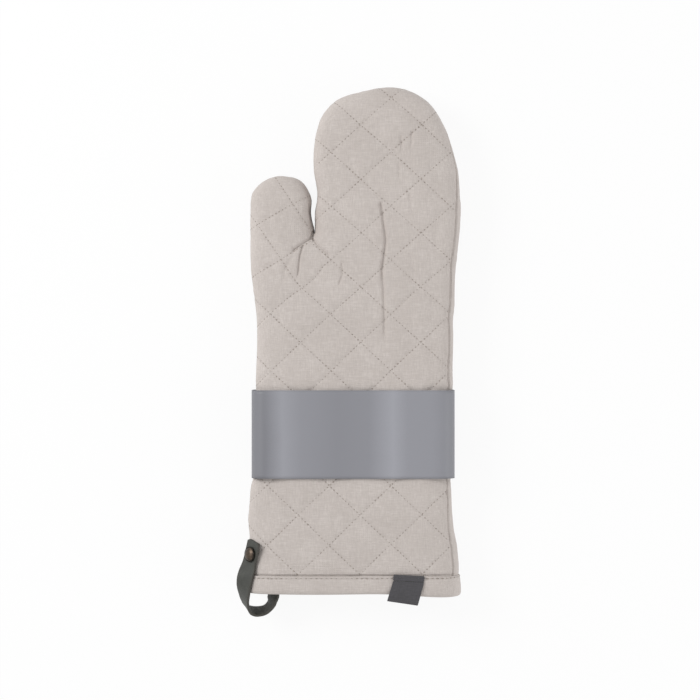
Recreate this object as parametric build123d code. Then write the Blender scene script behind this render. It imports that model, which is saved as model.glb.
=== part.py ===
"""Quilted oven mitt lying on its back: padded walls, bound cuff, riveted leather loop, label and paper band.

Millimetres, fingers toward +Y, thumb on the -X side, table at z = 0.
"""
import math
import os

from build123d import *

# Outline of the mitt from above
HEM_Y = -167.0                # folded edge of the cuff
PAST_HEM = 33.0               # the outline runs on below the hem and is cut off there
CUFF_LEFT_X = -71.7           # left side of the cuff at the hem
CUFF_LEFT_LEAN = 4.3          # degrees that the left side of the cuff leans in
CUFF_LENGTH = 70.2            # hem to the start of the waist, along the left side
WAIST_LENGTH = 94.0
THUMB_FLARE = 8.5             # degrees that the thumb side swings out above the waist
THUMB_FLARE_LENGTH = 32.0
THUMB_LENGTH = 26.8           # straight side of the thumb up to its round tip
THUMB_RADIUS = 20.7
CROTCH_DEPTH = 16.1           # thumb tip centre down to the crotch
CROTCH_RADIUS = 1.3           # half of the slit between thumb and fingers
FINGER_SIDE = 51.0            # crotch up to the round finger tip
FINGER_RADIUS = 47.5
PALM_SIDE = 125.0             # straight right side past the waist
CUFF_RIGHT_FLARE = 5.2        # degrees

# Padded section of the mitt
EDGE_RADIUS = 16.0            # rounded side of the padded wall
TABLE_SAG = 0.8               # the table flattens the underside by this much
CROWN_IN = 2.5                # the crown rises over this width inside the rounded side
CROWN_RISE = 1.0
RELIEF = 1.5                  # underside lifts off the table below the band and at the hem
SHELL = 1.0
WADDING = 2.8
LINING = 0.8
PLY_GAP = 0.25                # air between neighbouring plies
SEAM_GAP = 0.9                # room between shell and wadding for the side seam's thread
SEAM_HEIGHT_RIGHT = 26.0      # side seam above the table on the right
SEAM_HEIGHT_LEFT = 9.0        # and on the left, where the mitt has rolled over

# Quilting
DIAMOND_WIDTH = 40.8
DIAMOND_HEIGHT = 38.4
DIAMOND_CENTRE = (28.3, 25.0)
CHANNEL_WIDTH = 1.8
CHANNEL_DEPTH = 0.5
QUILT_THREAD = 0.7
SEAM_THREAD = 0.9             # width of the side seam's flat strand
SEAM_STRAND = 0.3             # and its thickness

# Cuff binding
BINDING_WIDTH = 13.0
BINDING = 0.9
STITCH_PITCH = 3.2
STITCH_LENGTH = 2.2
STITCH_WIDTH = 0.6
STITCH_RISE = 0.2
STITCH_FROM_EDGE = 1.8

# Rivet and hanging strap
RIVET_Y = -138.4
RIVET_TILT = 50.0             # degrees from straight up, toward the left
RIVET_HEAD_RADIUS = 5.3
RIVET_DOME = 2.4
RIVET_RIM = 0.9
RIVET_FOOT_RADIUS = 4.2
RIVET_FOOT = 1.2
SHANK_RADIUS = 1.6
RUNNING_FIT = 0.05
STRAP_WIDTH = 13.0
STRAP = 1.6
STRAP_CLEAR = 0.35            # strap clear of the wall and of the rivet head
STRAP_TURN = -13.0            # outer end is turned this far about the rivet
STRAP_TAIL_IN = 10.0          # inner end lies this far inside the outer surface
STRAP_SECTIONS = 46           # straight pieces that the bent strap is made of

# Label
LABEL_WIDTH = 21.0
LABEL_TAB = 3.0
LABEL_FLAP = 15.4
LABEL = 1.0
LABEL_LEAN = 3.5
LABEL_TURN = -3.0
LABEL_CENTRE_X = 40.3
LABEL_ABOVE_BINDING = 1.0     # tab reaches over the top edge of the binding
LABEL_CLEAR = 0.3

# Paper band
BAND_LEFT = -66.7
BAND_RIGHT = 72.1
BAND_LOW = -86.7
BAND_HEIGHT = 60.0
BAND_SLIDE = 40.0
BAND_PAPER = 0.4
BAND_CLEAR = 0.4
BAND_LAP = 22.0
BAND_GLUE = 0.2

MID_Z = EDGE_RADIUS - TABLE_SAG
TOP_Z = MID_Z + EDGE_RADIUS + CROWN_RISE
WALL = SHELL + SEAM_GAP + WADDING + PLY_GAP + LINING
BINDING_TOP_Y = HEM_Y + BINDING_WIDTH
FAR = 500.0


def heading(degrees):
    return Vector(math.cos(math.radians(degrees)), math.sin(math.radians(degrees)))


def outline_steps():
    """Straight runs and (radius, turn) bends, walked clockwise from the left of the cuff."""
    left_start = PAST_HEM / math.cos(math.radians(CUFF_LEFT_LEAN))
    return [
        (left_start + CUFF_LENGTH,),
        (250.0, 2.5),
        (WAIST_LENGTH,),
        (120.0, THUMB_FLARE),
        (THUMB_FLARE_LENGTH,),
        (120.0, CUFF_LEFT_LEAN - 2.5 - THUMB_FLARE),
        (THUMB_LENGTH,),
        (THUMB_RADIUS, -90.0),
        (THUMB_RADIUS, -90.0),
        (CROTCH_DEPTH,),
        (CROTCH_RADIUS, 90.0),
        (CROTCH_RADIUS, 90.0),
        (FINGER_SIDE,),
        (FINGER_RADIUS, -82.5),
        (FINGER_RADIUS, -82.5),
        (180.0, -15.0),
        (220.0, -8.0),
        (220.0, 7.6),
        (PALM_SIDE,),
        (250.0, CUFF_RIGHT_FLARE),
        (92.0,),
    ]


def outline_corners(inset):
    """Walk the outline moved inward by inset: every step with its start, heading and radius."""
    angle = 90.0 - CUFF_LEFT_LEAN
    lean = math.tan(math.radians(CUFF_LEFT_LEAN))
    point = Vector(CUFF_LEFT_X - PAST_HEM * lean, HEM_Y - PAST_HEM)
    point += heading(angle - 90.0) * inset
    corners = []
    for step in outline_steps():
        if len(step) == 1:
            corners.append((point, angle, step[0], 0.0))
            point += heading(angle) * step[0]
            continue
        side = math.copysign(1.0, step[1])
        radius = step[0] + side * inset
        corners.append((point, angle, radius, step[1]))
        centre = point + heading(angle + side * 90.0) * radius
        angle += step[1]
        point = centre - heading(angle + side * 90.0) * radius
    corners.append((point, angle, 0.0, 0.0))
    return corners


def mitt_outline(inset):
    corners = outline_corners(inset)
    edges = []
    for (point, angle, size, turn), after in zip(corners, corners[1:]):
        if turn == 0.0:
            edges.append(Line(point, after[0]))
        else:
            edges.append(JernArc(point, heading(angle), size, turn))
    edges.append(Line(corners[-1][0], corners[0][0]))
    return Face(Wire(edges))


def cuff_outline(inset):
    """The two straight sides of the cuff alone, joined straight across."""
    corners = outline_corners(inset)
    left_low, left_high = corners[0][0], corners[1][0]
    right_high, right_low = corners[-2][0], corners[-1][0]
    return Face(Wire.make_polygon([left_low, left_high, right_high, right_low]))


def section_levels(inset):
    """Plan inset and height of each level round the padded side, table to crown."""
    round_part = EDGE_RADIUS - inset
    levels = []
    for angle in range(-90, 91, 30):
        across = EDGE_RADIUS - round_part * math.cos(math.radians(angle))
        levels.append((across, MID_Z + round_part * math.sin(math.radians(angle))))
    levels.append((EDGE_RADIUS + CROWN_IN, TOP_Z - inset))
    return levels


def above_table(inset):
    """Everything above the underside: flat on the table, lifted at the hem and below the band."""
    ramp = 4.0
    flat = inset
    lifted = inset + RELIEF
    hem_end = BINDING_TOP_Y + 2.0
    band_start = BAND_LOW - 2.0
    band_end = BAND_LOW + BAND_HEIGHT + BAND_SLIDE + 2.0
    profile = [
        (HEM_Y - PAST_HEM - 10.0, lifted),
        (hem_end, lifted),
        (hem_end + ramp, flat),
        (band_start - ramp, flat),
        (band_start, lifted),
        (band_end, lifted),
        (band_end + ramp, flat),
        (FAR / 2, flat),
        (FAR / 2, FAR / 2),
        (HEM_Y - PAST_HEM - 10.0, FAR / 2),
    ]
    wire = Wire.make_polygon([(-FAR / 2, y, z) for y, z in profile])
    return extrude(Face(wire), FAR, dir=(1, 0, 0))


def padded_body(inset, outline):
    """Solid of the whole padded form moved inward by inset; hidden plies have straight-sided lofts."""
    sections = [Pos(0, 0, z) * outline(across) for across, z in section_levels(inset)]
    return loft(sections, ruled=inset > 0.0) & above_table(inset)


def beyond(y):
    """Everything on the finger side of y."""
    return Pos(0, y + FAR / 2, 0) * Box(FAR, FAR, FAR)


def ply(outer, inner):
    """One layer of the wall between two insets, cut off inside the binding's fold."""
    layer = padded_body(outer, mitt_outline) - padded_body(inner, mitt_outline)
    return layer & beyond(HEM_Y + BINDING + PLY_GAP)


corners_now = outline_corners(0.0)
right_x = corners_now[16][0].X
left_x = corners_now[6][0].X
seam_slope = (SEAM_HEIGHT_RIGHT - SEAM_HEIGHT_LEFT) / (right_x - left_x)
seam_plane = Plane(
    origin=(left_x, 0, SEAM_HEIGHT_LEFT),
    x_dir=(1, 0, seam_slope),
    z_dir=(-seam_slope, 0, 1),
)
front_side = seam_plane * Pos(0, 0, FAR / 2) * Box(2 * FAR, 2 * FAR, FAR)
back_side = seam_plane * Pos(0, 0, -FAR / 2) * Box(2 * FAR, 2 * FAR, FAR)

# Three plies of each wall, split at the side seam
shell = ply(0.0, SHELL)
wadding = ply(SHELL + SEAM_GAP, SHELL + SEAM_GAP + WADDING)
lining = ply(WALL - LINING, WALL)

# Thread of the side seam, lying between shell and wadding along the parting plane
strand_in = SHELL + (SEAM_GAP - SEAM_STRAND) / 2
seam_ring = ply(strand_in, strand_in + SEAM_STRAND)
side_seam_thread = seam_ring & (seam_plane * Box(2 * FAR, 2 * FAR, SEAM_THREAD))

# Rivet axis: square to the rounded side, tilted up from the left
left_lean = heading(90.0 - CUFF_LEFT_LEAN)
side_out = heading(180.0 - CUFF_LEFT_LEAN)
tilt = math.radians(RIVET_TILT)
rivet_out = side_out * math.sin(tilt) + Vector(0, 0, math.cos(tilt))
rivet_across = left_lean.cross(rivet_out)
edge_x = CUFF_LEFT_X + (RIVET_Y - HEM_Y) * math.tan(math.radians(CUFF_LEFT_LEAN))
edge_centre = Vector(edge_x, RIVET_Y, MID_Z) - side_out * EDGE_RADIUS
rivet_seat = edge_centre + rivet_out * EDGE_RADIUS
rivet_plane = Plane(origin=rivet_seat, x_dir=rivet_across, z_dir=rivet_out)

head_z = STRAP_CLEAR + STRAP + STRAP_CLEAR
foot_z = -STRAP_TAIL_IN - STRAP / 2 - STRAP_CLEAR
rivet_hole = rivet_plane * Cylinder(SHANK_RADIUS + RUNNING_FIT, 60.0)
shell -= rivet_hole
wadding -= rivet_hole
lining -= rivet_hole

# Quilting: crossing rows of stitching that draw the flat of each panel in
quilt_angle = math.degrees(math.atan2(DIAMOND_HEIGHT, DIAMOND_WIDTH))


def quilt_net(width, end_clear):
    """Plan of both families of quilting lines on the flat inside the rounded sides."""
    rows = Sketch()
    for side in (-1, 1):
        for count in range(-7, 7):
            middle = Pos(DIAMOND_CENTRE[0] + count * DIAMOND_WIDTH, DIAMOND_CENTRE[1])
            rows += middle * Rot(0, 0, side * quilt_angle) * Rectangle(2 * FAR, width)
    low_y = BINDING_TOP_Y + LABEL_ABOVE_BINDING + end_clear
    flat = mitt_outline(EDGE_RADIUS + CROWN_IN + end_clear)
    return rows & flat & (Pos(0, low_y + FAR / 2) * Rectangle(FAR, FAR))


channels = Pos(0, 0, -FAR / 4) * extrude(quilt_net(CHANNEL_WIDTH, 0.5), FAR / 2)
threads = Pos(0, 0, -FAR / 4) * extrude(quilt_net(QUILT_THREAD, 1.0), FAR / 2)
channel_floor = TOP_Z - CHANNEL_DEPTH
front_channels = channels & (Pos(0, 0, channel_floor + FAR / 2) * Box(FAR, FAR, FAR))
thread_rise = CHANNEL_DEPTH - 0.15
thread_middle = channel_floor + 0.05 + thread_rise / 2
front_quilting_thread = threads & (Pos(0, 0, thread_middle) * Box(FAR, FAR, thread_rise))
under_channel = Pos(0, 0, -FAR / 2) * Box(FAR, FAR, FAR + 4 * EDGE_RADIUS) - above_table(CHANNEL_DEPTH)
back_channels = channels & under_channel
back_quilting_thread = threads & (above_table(0.1) - above_table(CHANNEL_DEPTH - 0.05))

front_shell = (shell & front_side) - front_channels
back_shell = (shell & back_side) - back_channels
front_wadding = wadding & front_side
back_wadding = wadding & back_side
front_lining = lining & front_side
back_lining = lining & back_side

# Binding folded over the raw edge of the cuff
binding_outer = -PLY_GAP - BINDING
inner_face = WALL + PLY_GAP
outside = padded_body(binding_outer, cuff_outline)
inside = padded_body(inner_face + BINDING, cuff_outline)
raw_edge_room = padded_body(-PLY_GAP, cuff_outline) - padded_body(inner_face, cuff_outline)
raw_edge_room = raw_edge_room & beyond(HEM_Y + BINDING)
cuff_strip = beyond(HEM_Y) - beyond(BINDING_TOP_Y)
cuff_binding = ((outside - inside) & cuff_strip) - raw_edge_room

# Topstitching round the cuff: one raised line of thread, broken where the label is sewn on
stitch_y = BINDING_TOP_Y - STITCH_FROM_EDGE
binding_top = TOP_Z - binding_outer
thread_inner = padded_body(binding_outer - 0.05, cuff_outline)
thread_outer = padded_body(binding_outer - 0.05 - STITCH_RISE, cuff_outline)
stitch_strip = Pos(0, stitch_y, 0) * Box(FAR, STITCH_WIDTH, FAR)
label_room = Pos(LABEL_CENTRE_X, stitch_y, binding_top) * Box(LABEL_WIDTH + 2.0, 4.0, 6.0)
binding_topstitch = ((thread_outer - thread_inner) & stitch_strip) - label_room


# Leather strap: a ribbon from the outer end, round below the hem and up into the mouth
def beside_rivet(up, out, across):
    return rivet_seat + left_lean * up + rivet_out * out + rivet_across * across


strap_spin = math.radians(STRAP_TURN)
outer_up = left_lean * math.cos(strap_spin) - rivet_across * math.sin(strap_spin)
outer_across = rivet_across * math.cos(strap_spin) + left_lean * math.sin(strap_spin)
strap_lift = STRAP_CLEAR + STRAP / 2
strap_path = [
    rivet_seat + rivet_out * strap_lift + outer_up * 8.3,
    rivet_seat + rivet_out * strap_lift,
    rivet_seat + rivet_out * strap_lift - outer_up * 6.5,
    rivet_seat + rivet_out * (strap_lift + 1.7) - outer_up * 15.0,
    rivet_seat + rivet_out * (strap_lift + 2.2) - outer_up * 23.0,
    Vector(-73.8, -166.6, 22.4),
    Vector(-71.4, -173.4, 19.2),
    Vector(-66.8, -178.2, 16.0),
    Vector(-60.6, -179.2, 14.4),
    Vector(-55.0, -177.0, 14.4),
    Vector(-52.0, -172.4, 15.6),
    beside_rivet(-28.0, -18.2, 3.0),
    beside_rivet(-16.0, -13.8, 1.0),
    beside_rivet(-6.5, -STRAP_TAIL_IN, 0.0),
    beside_rivet(0.0, -STRAP_TAIL_IN, 0.0),
    beside_rivet(6.5, -STRAP_TAIL_IN, 0.0),
]
ribbon = Spline(strap_path)
ribbon_sections = []
for number in range(STRAP_SECTIONS + 1):
    along = number / STRAP_SECTIONS
    across = outer_across * (1.0 - along) + rivet_across * along
    station = Plane(origin=ribbon @ along, x_dir=across, z_dir=ribbon % along)
    ribbon_sections.append(station * Rectangle(STRAP_WIDTH, STRAP))
hanging_strap = loft(ribbon_sections, ruled=True)
hanging_strap -= rivet_hole

# Rivet: domed head on a post that runs through strap, wall and strap again
dome_height = RIVET_DOME - RIVET_RIM
dome_radius = (RIVET_HEAD_RADIUS**2 + dome_height**2) / (2 * dome_height)
head_disc = Pos(0, 0, head_z + RIVET_RIM / 2) * Cylinder(RIVET_HEAD_RADIUS, RIVET_RIM)
dome_ball = Pos(0, 0, head_z + RIVET_DOME - dome_radius) * Sphere(dome_radius)
dome_room = Pos(0, 0, head_z + RIVET_RIM + dome_height / 2) * Cylinder(RIVET_HEAD_RADIUS, dome_height)
socket_depth = RIVET_RIM * 0.8
socket = Pos(0, 0, head_z + socket_depth / 2) * Cylinder(SHANK_RADIUS, socket_depth)
rivet_cap = rivet_plane * (head_disc + (dome_ball & dome_room) - socket)
shank_length = head_z + socket_depth - foot_z
shank = Pos(0, 0, foot_z + shank_length / 2) * Cylinder(SHANK_RADIUS, shank_length)
foot = Pos(0, 0, foot_z - RIVET_FOOT / 2) * Cylinder(RIVET_FOOT_RADIUS, RIVET_FOOT)
rivet_post = rivet_plane * (shank + foot)

# Label: a sewn tab that stays put and a flap that folds up along the tab's lower edge
label_z = binding_top + LABEL_CLEAR + LABEL / 2
flap_round = LABEL / 2
tab_low = flap_round + LABEL_CLEAR
label_origin = Pos(LABEL_CENTRE_X, BINDING_TOP_Y + LABEL_ABOVE_BINDING - LABEL_TAB - tab_low, label_z)
label_frame = label_origin * Rot(0, 0, LABEL_TURN)
label_tab = label_frame * Pos(0, tab_low + LABEL_TAB / 2, -LABEL_CLEAR / 2) * Box(
    LABEL_WIDTH, LABEL_TAB, LABEL + LABEL_CLEAR
)
half_label = LABEL_WIDTH / 2
flap_sheet = Polyline(
    (-half_label, 0),
    (half_label, 0),
    (half_label - LABEL_LEAN, -LABEL_FLAP),
    (-half_label - LABEL_LEAN, -LABEL_FLAP),
    close=True,
)
flap_plate = Pos(0, 0, -LABEL / 2) * extrude(make_face(flap_sheet), LABEL)
flap_end = Rot(0, 90, 0) * Cylinder(flap_round, LABEL_WIDTH)
woven_label = label_frame * (flap_plate + flap_end)
stitch_bar = Box(STITCH_LENGTH, STITCH_WIDTH, STITCH_RISE)
label_bars = []
label_count = int(LABEL_WIDTH / STITCH_PITCH)
for number in range(label_count):
    x = (number + 0.5 - label_count / 2) * STITCH_PITCH
    place = Pos(x, tab_low + LABEL_TAB * 0.4, LABEL / 2 + STITCH_RISE / 2)
    label_bars.append(label_frame * place * stitch_bar)
label_stitches = Compound(children=label_bars)

# Paper band: one strip wrapped round the waist, its ends lapped and glued underneath
half_paper = BAND_PAPER / 2
band_top = TOP_Z + BAND_CLEAR + half_paper
inner_low = RELIEF - BAND_CLEAR - half_paper
outer_low = inner_low - BAND_PAPER - BAND_GLUE
band_left = BAND_LEFT + half_paper
band_right = BAND_RIGHT - half_paper
band_round = EDGE_RADIUS - 6.0
half_lap = BAND_LAP / 2
band_path = FilletPolyline(
    (half_lap, 0, inner_low),
    (band_left, 0, inner_low),
    (band_left, 0, band_top),
    (band_right, 0, band_top),
    (band_right, 0, outer_low),
    (-half_lap, 0, outer_low),
    radius=band_round,
)
strip_start = Plane(origin=(half_lap, BAND_LOW + BAND_HEIGHT / 2, inner_low), x_dir=(0, 1, 0), z_dir=(-1, 0, 0))
strip_section = strip_start * Rectangle(BAND_HEIGHT, BAND_PAPER)
paper_band = sweep(strip_section, path=Pos(0, BAND_LOW + BAND_HEIGHT / 2, 0) * band_path)
glue_z = (inner_low + outer_low) / 2
band_glue = Pos(0, BAND_LOW + BAND_HEIGHT / 2, glue_z) * Box(BAND_LAP - 2.0, BAND_HEIGHT - 4.0, BAND_GLUE)

nodes = {
    "front_shell": front_shell,
    "back_shell": back_shell,
    "front_wadding": front_wadding,
    "back_wadding": back_wadding,
    "front_lining": front_lining,
    "back_lining": back_lining,
    "front_quilting_thread": front_quilting_thread,
    "back_quilting_thread": back_quilting_thread,
    "side_seam_thread": side_seam_thread,
    "cuff_binding": cuff_binding,
    "binding_topstitch": binding_topstitch,
    "hanging_strap": hanging_strap,
    "rivet_cap": rivet_cap,
    "rivet_post": rivet_post,
    "label_tab": label_tab,
    "woven_label": woven_label,
    "label_stitches": label_stitches,
    "paper_band": paper_band,
    "band_glue": band_glue,
}
os.makedirs("parts", exist_ok=True)
for name, shape in nodes.items():
    export_step(shape, f"parts/{name}.step")
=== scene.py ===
"""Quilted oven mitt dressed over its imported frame: padded covers, lining, binding, stitching and trim."""

import math

import bmesh
import bpy
from mathutils import Matrix, Vector, noise
from mathutils.bvhtree import BVHTree


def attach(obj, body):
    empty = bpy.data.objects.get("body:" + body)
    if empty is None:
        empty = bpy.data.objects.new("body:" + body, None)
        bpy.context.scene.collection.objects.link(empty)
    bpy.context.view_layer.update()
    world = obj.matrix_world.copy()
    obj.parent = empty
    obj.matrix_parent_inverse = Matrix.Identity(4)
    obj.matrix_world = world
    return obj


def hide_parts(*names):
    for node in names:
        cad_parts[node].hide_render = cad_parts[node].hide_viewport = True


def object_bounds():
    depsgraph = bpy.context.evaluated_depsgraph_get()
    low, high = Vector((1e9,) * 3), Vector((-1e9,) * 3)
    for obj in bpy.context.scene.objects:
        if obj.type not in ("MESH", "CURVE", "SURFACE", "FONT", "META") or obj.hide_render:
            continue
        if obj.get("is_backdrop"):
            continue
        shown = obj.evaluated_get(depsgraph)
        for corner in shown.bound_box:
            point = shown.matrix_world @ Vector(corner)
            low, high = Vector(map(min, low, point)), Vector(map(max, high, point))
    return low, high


bl_info = {
    "name": "Quilted Oven Mitt",
    "version": (1, 0, 0),
    "blender": (4, 5, 0),
    "location": "3D View > Sidebar > Oven Mitt",
    "description": "Builds a quilted oven mitt with its loop, label and paper band",
    "category": "Object",
}

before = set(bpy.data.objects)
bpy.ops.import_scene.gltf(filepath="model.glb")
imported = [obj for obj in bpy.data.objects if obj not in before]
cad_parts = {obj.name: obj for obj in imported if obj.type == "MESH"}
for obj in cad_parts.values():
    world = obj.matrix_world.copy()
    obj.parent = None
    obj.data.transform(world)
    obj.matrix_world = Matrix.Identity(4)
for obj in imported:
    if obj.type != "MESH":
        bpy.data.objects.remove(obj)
cad_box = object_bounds()


def length(name, description, default):
    return bpy.props.FloatProperty(
        name=name, description=description, default=default, unit="LENGTH", precision=5
    )


def ratio(name, description, default):
    return bpy.props.FloatProperty(name=name, description=description, default=default, precision=4)


def angle(name, description, degrees):
    return bpy.props.FloatProperty(
        name=name, description=description, default=math.radians(degrees), unit="ROTATION"
    )


def colour(name, description, default):
    return bpy.props.FloatVectorProperty(
        name=name, description=description, default=default, subtype="COLOR", size=4, min=0.0, max=1.0
    )


class MittShape(bpy.types.PropertyGroup):
    """Outline and padded section of the mitt"""

    hem_y: length("Hem", "Folded edge of the cuff", -0.167)
    past_hem: length("Past the hem", "The form runs on below the hem and is cut there", 0.012)
    cuff_left_x: length("Cuff left", "Left side of the cuff at the hem", -0.0717)
    cuff_left_lean: angle("Cuff lean", "Inward lean of the cuff's left side", 4.3)
    cuff_length: length("Cuff length", "Hem to waist along the left side", 0.0702)
    waist_length: length("Waist length", "Straight left side at the waist", 0.094)
    thumb_flare: angle("Thumb flare", "Outward swing above the waist", 8.5)
    thumb_flare_length: length("Flare length", "Straight run of the flare", 0.032)
    thumb_length: length("Thumb length", "Straight outer side of the thumb", 0.0268)
    thumb_radius: length("Thumb radius", "Round tip of the thumb", 0.0207)
    crotch_depth: length("Crotch depth", "Thumb tip centre down to the crotch", 0.0161)
    crotch_radius: length("Crotch radius", "Half of the slit beside the thumb", 0.0013)
    slit_room: length("Slit room", "The slit is modelled this much wider, then drawn shut", 0.0014)
    slit_gap: length("Slit gap", "Width of the slit beside the thumb's tip", 0.0026)
    slit_overlap: length("Slit overlap", "Its sides press together this much where it ends", 0.0014)
    slit_closing: ratio("Slit closing", "How soon the slit narrows on its way down", 0.9)
    finger_side: length("Finger side", "Crotch up to the round finger tip", 0.051)
    finger_radius: length("Finger radius", "Round finger tip", 0.0475)
    palm_side: length("Palm side", "Straight right side", 0.125)
    cuff_right_flare: angle("Right flare", "Outward flare of the cuff's right side", 5.2)
    edge_radius: length("Edge radius", "Rounded side of the padded wall", 0.016)
    mid_z: length("Widest level", "Height at which the mitt is widest", 0.0152)
    crown_in: length("Crown width", "Width over which the crown rises", 0.0025)
    crown_rise: length("Crown rise", "Rise of the crown above the rounded side", 0.001)
    relief: length("Relief", "Lift off the table at the hem and below the band", 0.0015)
    shoulder: length("Shoulder", "Fullness of the rounded sides above a plain arc", 0.0012)
    wall: length("Wall", "Outside of the shell to the lining", 0.0058)
    seam_right: length("Right seam", "Height of the side seam on the right", 0.026)
    seam_left: length("Left seam", "Height of the side seam on the left", 0.009)
    seam_sink: length("Seam sink", "Drop of the side seam toward the finger tip", 0.0042)
    raw_edge: length("Raw edge", "The plies stop this far above the hem", 0.003)
    voxel: length("Cloth mesh", "Mesh size of the padded cloth", 0.0024)


class QuiltWork(bpy.types.PropertyGroup):
    """Quilting, seams and stitches"""

    diamond_width: length("Diamond width", "Quilting diamond across", 0.0408)
    diamond_height: length("Diamond height", "Quilting diamond along the mitt", 0.0384)
    centre_x: length("Lattice X", "A crossing of the quilting lines", 0.0283)
    centre_y: length("Lattice Y", "A crossing of the quilting lines", 0.025)
    draw_in: length("Draw-in", "Depth of the sewn lines below the puffs", 0.0010)
    side_draw_in: length("Side draw-in", "The same on the rounded sides", 0.0003)
    groove: length("Stitch groove", "Narrow dent along each sewn line", 0.00028)
    groove_width: length("Groove width", "Half width of that dent", 0.0011)
    pucker: length("Pucker", "Small gathers beside the sewn lines", 0.00022)
    seam_depth: length("Seam depth", "Valley along the side seam", 0.0012)
    seam_width: length("Seam width", "Half width of the seam valley", 0.0006)
    wander: length("Wander", "How far a sewn line strays from straight", 0.0009)
    jitter: length("Jitter", "How far a stitch lies beside its line", 0.0002)
    tip_from: length("Shortening from", "The diamonds are shorter from here to the finger tip", 0.035)
    tip_shorter: ratio("Shortening", "Share by which they are shorter", 0.047)
    cuff_from: length("Stretch from", "The diamonds are longer from here to the hem", -0.060)
    cuff_longer: ratio("Stretch", "Share by which they are longer", 0.042)
    cuff_wider: ratio("Widening", "Share by which they are wider toward the cuff's left", 0.030)
    crotch_x: length("Crotch X", "The thumb's cloth is turned on the left of here", -0.0255)
    crotch_y: length("Crotch Y", "Lower end of the slit beside the thumb", 0.077)
    thumb_x: length("Thumb pivot X", "Point that the thumb's cloth is turned about", -0.054)
    thumb_y: length("Thumb pivot Y", "Point that the thumb's cloth is turned about", 0.033)
    thumb_twist: angle("Thumb twist", "Turn of the thumb's cloth against the palm", 12.8)
    stitch_pitch: length("Quilting stitch pitch", "Spacing of the quilting stitches", 0.0025)
    stitch_length: length("Quilting stitch", "Length of a quilting stitch", 0.0015)
    hole: length("Needle hole", "Size of the dark hole between two stitches", 0.0014)
    stitch_width: length("Thread", "Thickness of the sewing thread", 0.0005)
    hem_pitch: length("Hem stitch pitch", "Spacing of the topstitching", 0.0033)
    hem_length: length("Hem stitch", "Length of a topstitch", 0.0018)


class CuffAndLoop(bpy.types.PropertyGroup):
    """Binding, strap, rivet, label and band"""

    binding_width: length("Binding width", "Height of the bound hem", 0.013)
    binding: length("Binding", "Thickness of the bound cloth", 0.0009)
    binding_rise: length("Binding rise", "The binding's top edge is drawn up this much", 0.0010)
    hem_rise: length("Hem rise", "The fold of the hem is drawn up this much on the left", 0.0014)
    hem_sag: length("Hem sag", "And let down this much on the right", 0.0005)
    ply_gap: length("Ply gap", "Air between neighbouring plies", 0.00025)
    rivet_y: length("Rivet Y", "Rivet along the cuff", -0.1384)
    rivet_tilt: angle("Rivet tilt", "Lean of the rivet from straight up", 50.0)
    head_radius: length("Rivet head", "Radius of the domed head", 0.0053)
    foot_radius: length("Rivet foot", "Radius of the inner foot", 0.0042)
    shank_radius: length("Rivet shank", "Radius of the post", 0.0016)
    strap_width: length("Strap width", "Width of the leather strap", 0.013)
    strap: length("Strap", "Thickness of the leather", 0.0016)
    strap_clear: length("Strap clearance", "Strap clear of wall and rivet head", 0.00035)
    strap_turn: angle("Strap turn", "Turn of the outer end about the rivet", -13.0)
    tail_in: length("Strap tail", "Depth of the strap's inner end", 0.0100)
    label_width: length("Label width", "Width of the woven label", 0.021)
    label_tab: length("Label tab", "Sewn strip of the label", 0.003)
    label_flap: length("Label flap", "Free length of the label", 0.0154)
    label: length("Label", "Thickness of the folded label", 0.001)
    label_lean: length("Label lean", "Sideways lean of the flap", 0.0035)
    label_slant: ratio("Label slant", "Share by which the flap is shorter on its left", 0.12)
    label_turn: angle("Label turn", "Turn of the label", -3.0)
    label_x: length("Label X", "Middle of the label", 0.0403)
    label_above: length("Label overlap", "Tab reaches over the top of the binding", 0.001)
    band_left: length("Band left", "Left side of the paper band", -0.0667)
    band_right: length("Band right", "Right side of the paper band", 0.0721)
    band_low: length("Band low", "Lower edge of the band", -0.0867)
    band_height: length("Band height", "Height of the band", 0.06)
    band_slide: length("Band slide", "Travel of the band", 0.04)
    paper: length("Paper", "Thickness of the paper", 0.0004)
    band_clear: length("Band clearance", "Band clear of the mitt", 0.0004)
    band_lap: length("Band lap", "Overlap of the band's ends", 0.022)
    band_glue: length("Glue", "Thickness of the glue line", 0.0002)


class MittFinish(bpy.types.PropertyGroup):
    """Colours of the cloth, leather, metal and paper"""

    linen: colour("Linen", "Outer cloth", (0.560, 0.508, 0.476, 1.0))
    linen_dark: colour("Linen shade", "Darker yarns of the cloth", (0.505, 0.455, 0.424, 1.0))
    linen_light: colour("Linen light", "Lighter yarns of the cloth", (0.645, 0.591, 0.558, 1.0))
    lining: colour("Lining", "Inner cloth", (0.60, 0.57, 0.53, 1.0))
    thread: colour("Thread", "Sewing thread", (0.67, 0.62, 0.585, 1.0))
    # Painted shade of the needle holes, laid on the cloth as small dark beads
    hole: colour("Needle hole", "Shaded needle holes between the stitches", (0.285, 0.248, 0.222, 1.0))
    leather: colour("Leather", "Face of the strap", (0.058, 0.060, 0.052, 1.0))
    leather_edge: colour("Leather edge", "Cut edge of the strap", (0.050, 0.047, 0.040, 1.0))
    metal: colour("Rivet", "Antiqued rivet", (0.050, 0.039, 0.032, 1.0))
    metal_worn: colour("Rivet wear", "Rubbed high spots of the rivet", (0.13, 0.098, 0.074, 1.0))
    # Blackening in the rivet's groove, and painted shade on its rim
    rim_blackening_and_shade: colour("Rivet rim", "Blackened groove and rim of the rivet", (0.016, 0.014, 0.012, 1.0))
    label: colour("Label", "Woven label", (0.058, 0.0555, 0.061, 1.0))
    paper: colour("Paper", "Coated paper band", (0.258, 0.260, 0.286, 1.0))
    glue: colour("Glue", "Thick spots of the dried glue", (0.62, 0.58, 0.48, 1.0))
    glue_light: colour("Glue light", "Thin spots of the dried glue", (0.80, 0.77, 0.68, 1.0))
    floor: colour("Floor", "Plain pale floor", (0.93, 0.93, 0.93, 1.0))


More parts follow.
